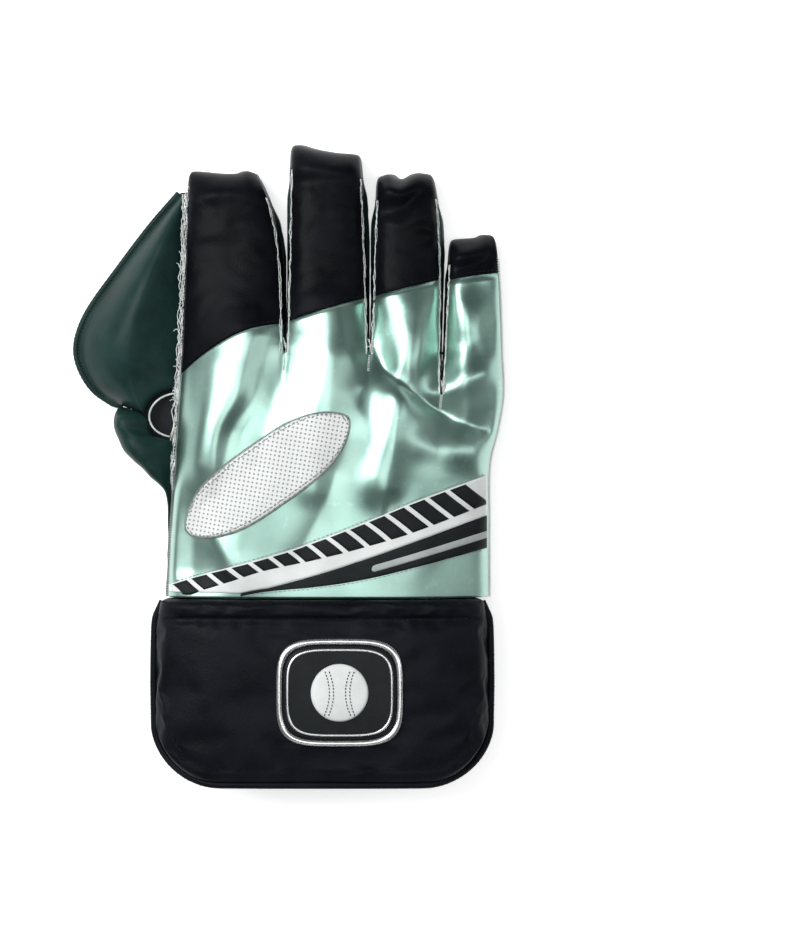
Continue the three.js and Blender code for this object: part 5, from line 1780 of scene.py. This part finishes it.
def add_band():
    left_end = float(hand_edge("left", 0)) + 6
    right_end = float(hand_edge("right", 0.3 * PALM_LENGTH)) - 6
    lift = 0.45

    def low_dark(x):
        return band_line("foot", x)

    def high_dark(x):
        return np.maximum(band_line("dark", x) - CLEARANCE, low_dark(x) + 2 * TRIM)

    def grey_middle(x):
        return lerp(band_line("foot", x), band_line("dark", x), 0.42)

    piece = band_strip(
        "band_light_stripe", left_end - 4, right_end + 4, 220, 26,
        lambda x: high_dark(x) + 0.2, lambda x: band_line("top", x), lift, 0.45, WHITE_TRIM,
    )
    finish_piece(piece, "light_leather", "band_light")
    piece = band_strip(
        "band_dark_sweep", -0.14 * HAND_WIDTH, right_end + 4, 190, 18,
        low_dark, high_dark, lift, 0.5, DARK_TRIM,
    )
    finish_piece(piece, "dark_trim", "band_dark")
    u, v = np.meshgrid(np.linspace(0, 1, 120), np.linspace(-1, 1, 9))
    start = 0.26 * HAND_WIDTH
    x = lerp(start, right_end + 3.5, u)
    nose = np.sqrt(np.clip(1 - (1 - np.clip((x - start) / (GREY_LINE_WIDTH / 2), 0, 1)) ** 2, 0.02, 1))
    y = grey_middle(x) + v * nose * GREY_LINE_WIDTH / 2
    piece = cover("band_grey_line", hand_height, x, y, lift + 0.65, 0.45, GREY_TRIM)
    finish_piece(piece, "grey_trim", "band_line")

    pitch = (right_end - left_end) / BAND_BLOCKS
    nodes = [f"band_block_{k + 1:02d}" for k in range(BAND_BLOCKS)]
    parts = []
    for k in range(BAND_BLOCKS):
        u, v = np.meshgrid(np.linspace(0, 1, BLOCK_CELLS[0] + 1), np.linspace(0, 1, BLOCK_CELLS[1] + 1))
        along = left_end + pitch * k + (pitch - BLOCK_GAP) * u + BLOCK_GAP / 2
        height = band_line("top", along) - band_line("light", along)
        x = np.clip(along + BLOCK_SLANT * height * (0.5 - v), left_end - 3, right_end + 3)
        y = lerp(band_line("light", x) + 0.5, band_line("top", x) - 0.7, v)
        from_side = np.minimum(u, 1 - u) * BLOCK_CELLS[0]
        near = np.minimum(from_side, np.minimum(v, 1 - v) * BLOCK_CELLS[1])
        share = np.where(near < 0.5, 0.3, np.where(near < 1.5, 0.85, 1.0))
        outer, _ = draped(hand_height, x, y, lift + 0.5 + 0.45 * share)
        inner, _ = draped(hand_height, x, y, np.full(x.shape, lift + 0.48))
        parts.append(shell_part(outer, inner))
    finish_piece(join_parts("band_dark_blocks", parts, DARK_TRIM), "dark_trim", *nodes)

    stitches = []
    for line, away, x0 in (("top", 0.8, left_end), ("foot", -0.7, -0.12 * HAND_WIDTH)):
        xs = np.linspace(x0, right_end + 3, 260)
        path, up = draped(hand_height, xs, band_line(line, xs) + away, np.full(len(xs), 0.1))
        stitches.extend(stitch_row(path, up, 2.4, 0.7, 0.25))
    finish_piece(join_parts("band_edge_stitches", stitches, GREY_THREAD), "grey_trim")


add_back()
add_side_strips()
add_edge_stitching()
add_loose_threads()
add_slit_points()
add_colour_seam()
add_thumb_and_web()
add_palm()
add_cuff()
add_cuff_stitching()
add_badge()
add_patch()
add_band()


# Stage

floor_mesh = bpy.data.meshes.new("floor")
half = 4.0
corners = [(-half, -half, 0), (half, -half, 0), (half, half, 0), (-half, half, 0)]
floor_mesh.from_pydata(corners, [], [(0, 1, 2, 3)])
floor = bpy.data.objects.new("floor", floor_mesh)
bpy.context.scene.collection.objects.link(floor)
floor_material, floor_nodes, _ = new_material("floor_white")
floor_inputs = floor_nodes["Principled BSDF"].inputs
floor_inputs["Base Color"].default_value = (0.93, 0.93, 0.93, 1)
floor_inputs["Roughness"].default_value = 0.9
floor_inputs["Emission Color"].default_value = (1, 1, 1, 1)
floor_inputs["Emission Strength"].default_value = 0.6
floor_mesh.materials.append(floor_material)


def area_light(name, place, target, size, power, colour=(1, 1, 1)):
    data = bpy.data.lights.new(name, "AREA")
    data.shape = "RECTANGLE"
    data.size, data.size_y = size
    data.energy = power
    data.color = colour
    light = bpy.data.objects.new(name, data)
    light.location = place
    light.rotation_euler = (Vector(target) - Vector(place)).to_track_quat("-Z", "Y").to_euler()
    bpy.context.scene.collection.objects.link(light)


area_light("overhead_softbox", (0.05, 0.15, 2.3), (0, 0, 0), (1.3, 1.3), 14)
area_light("key_softbox", (-0.85, 0.5, 1.15), (0, 0, 0), (0.9, 0.9), 18)
area_light("side_softbox", (1.0, 0.1, 0.9), (0, 0, 0), (0.3, 1.2), 2.5)
area_light("low_strip", (0.0, -1.3, 0.9), (0, 0, 0), (1.2, 0.3), 1.5)

world = bpy.data.worlds.new("studio")
world.use_nodes = True
world.node_tree.nodes["Background"].inputs["Color"].default_value = (0.95, 0.97, 1.0, 1)
world.node_tree.nodes["Background"].inputs["Strength"].default_value = 0.1
bpy.context.scene.world = world
bpy.context.scene.view_settings.view_transform = "Standard"

camera_data = bpy.data.cameras.new("camera")
camera_data.sensor_fit = "HORIZONTAL"
camera_data.sensor_width = 36
CAMERA_HEIGHT = 1.53
FRAME_WIDTH = 0.424
GLOVE_LEVEL = 0.03
camera_data.lens = 36 * (CAMERA_HEIGHT - GLOVE_LEVEL) / FRAME_WIDTH
camera = bpy.data.objects.new("camera", camera_data)
camera.location = (*to_frame((59.6, 69.7, 0.0))[:2], CAMERA_HEIGHT)
bpy.context.scene.collection.objects.link(camera)
bpy.context.scene.camera = camera
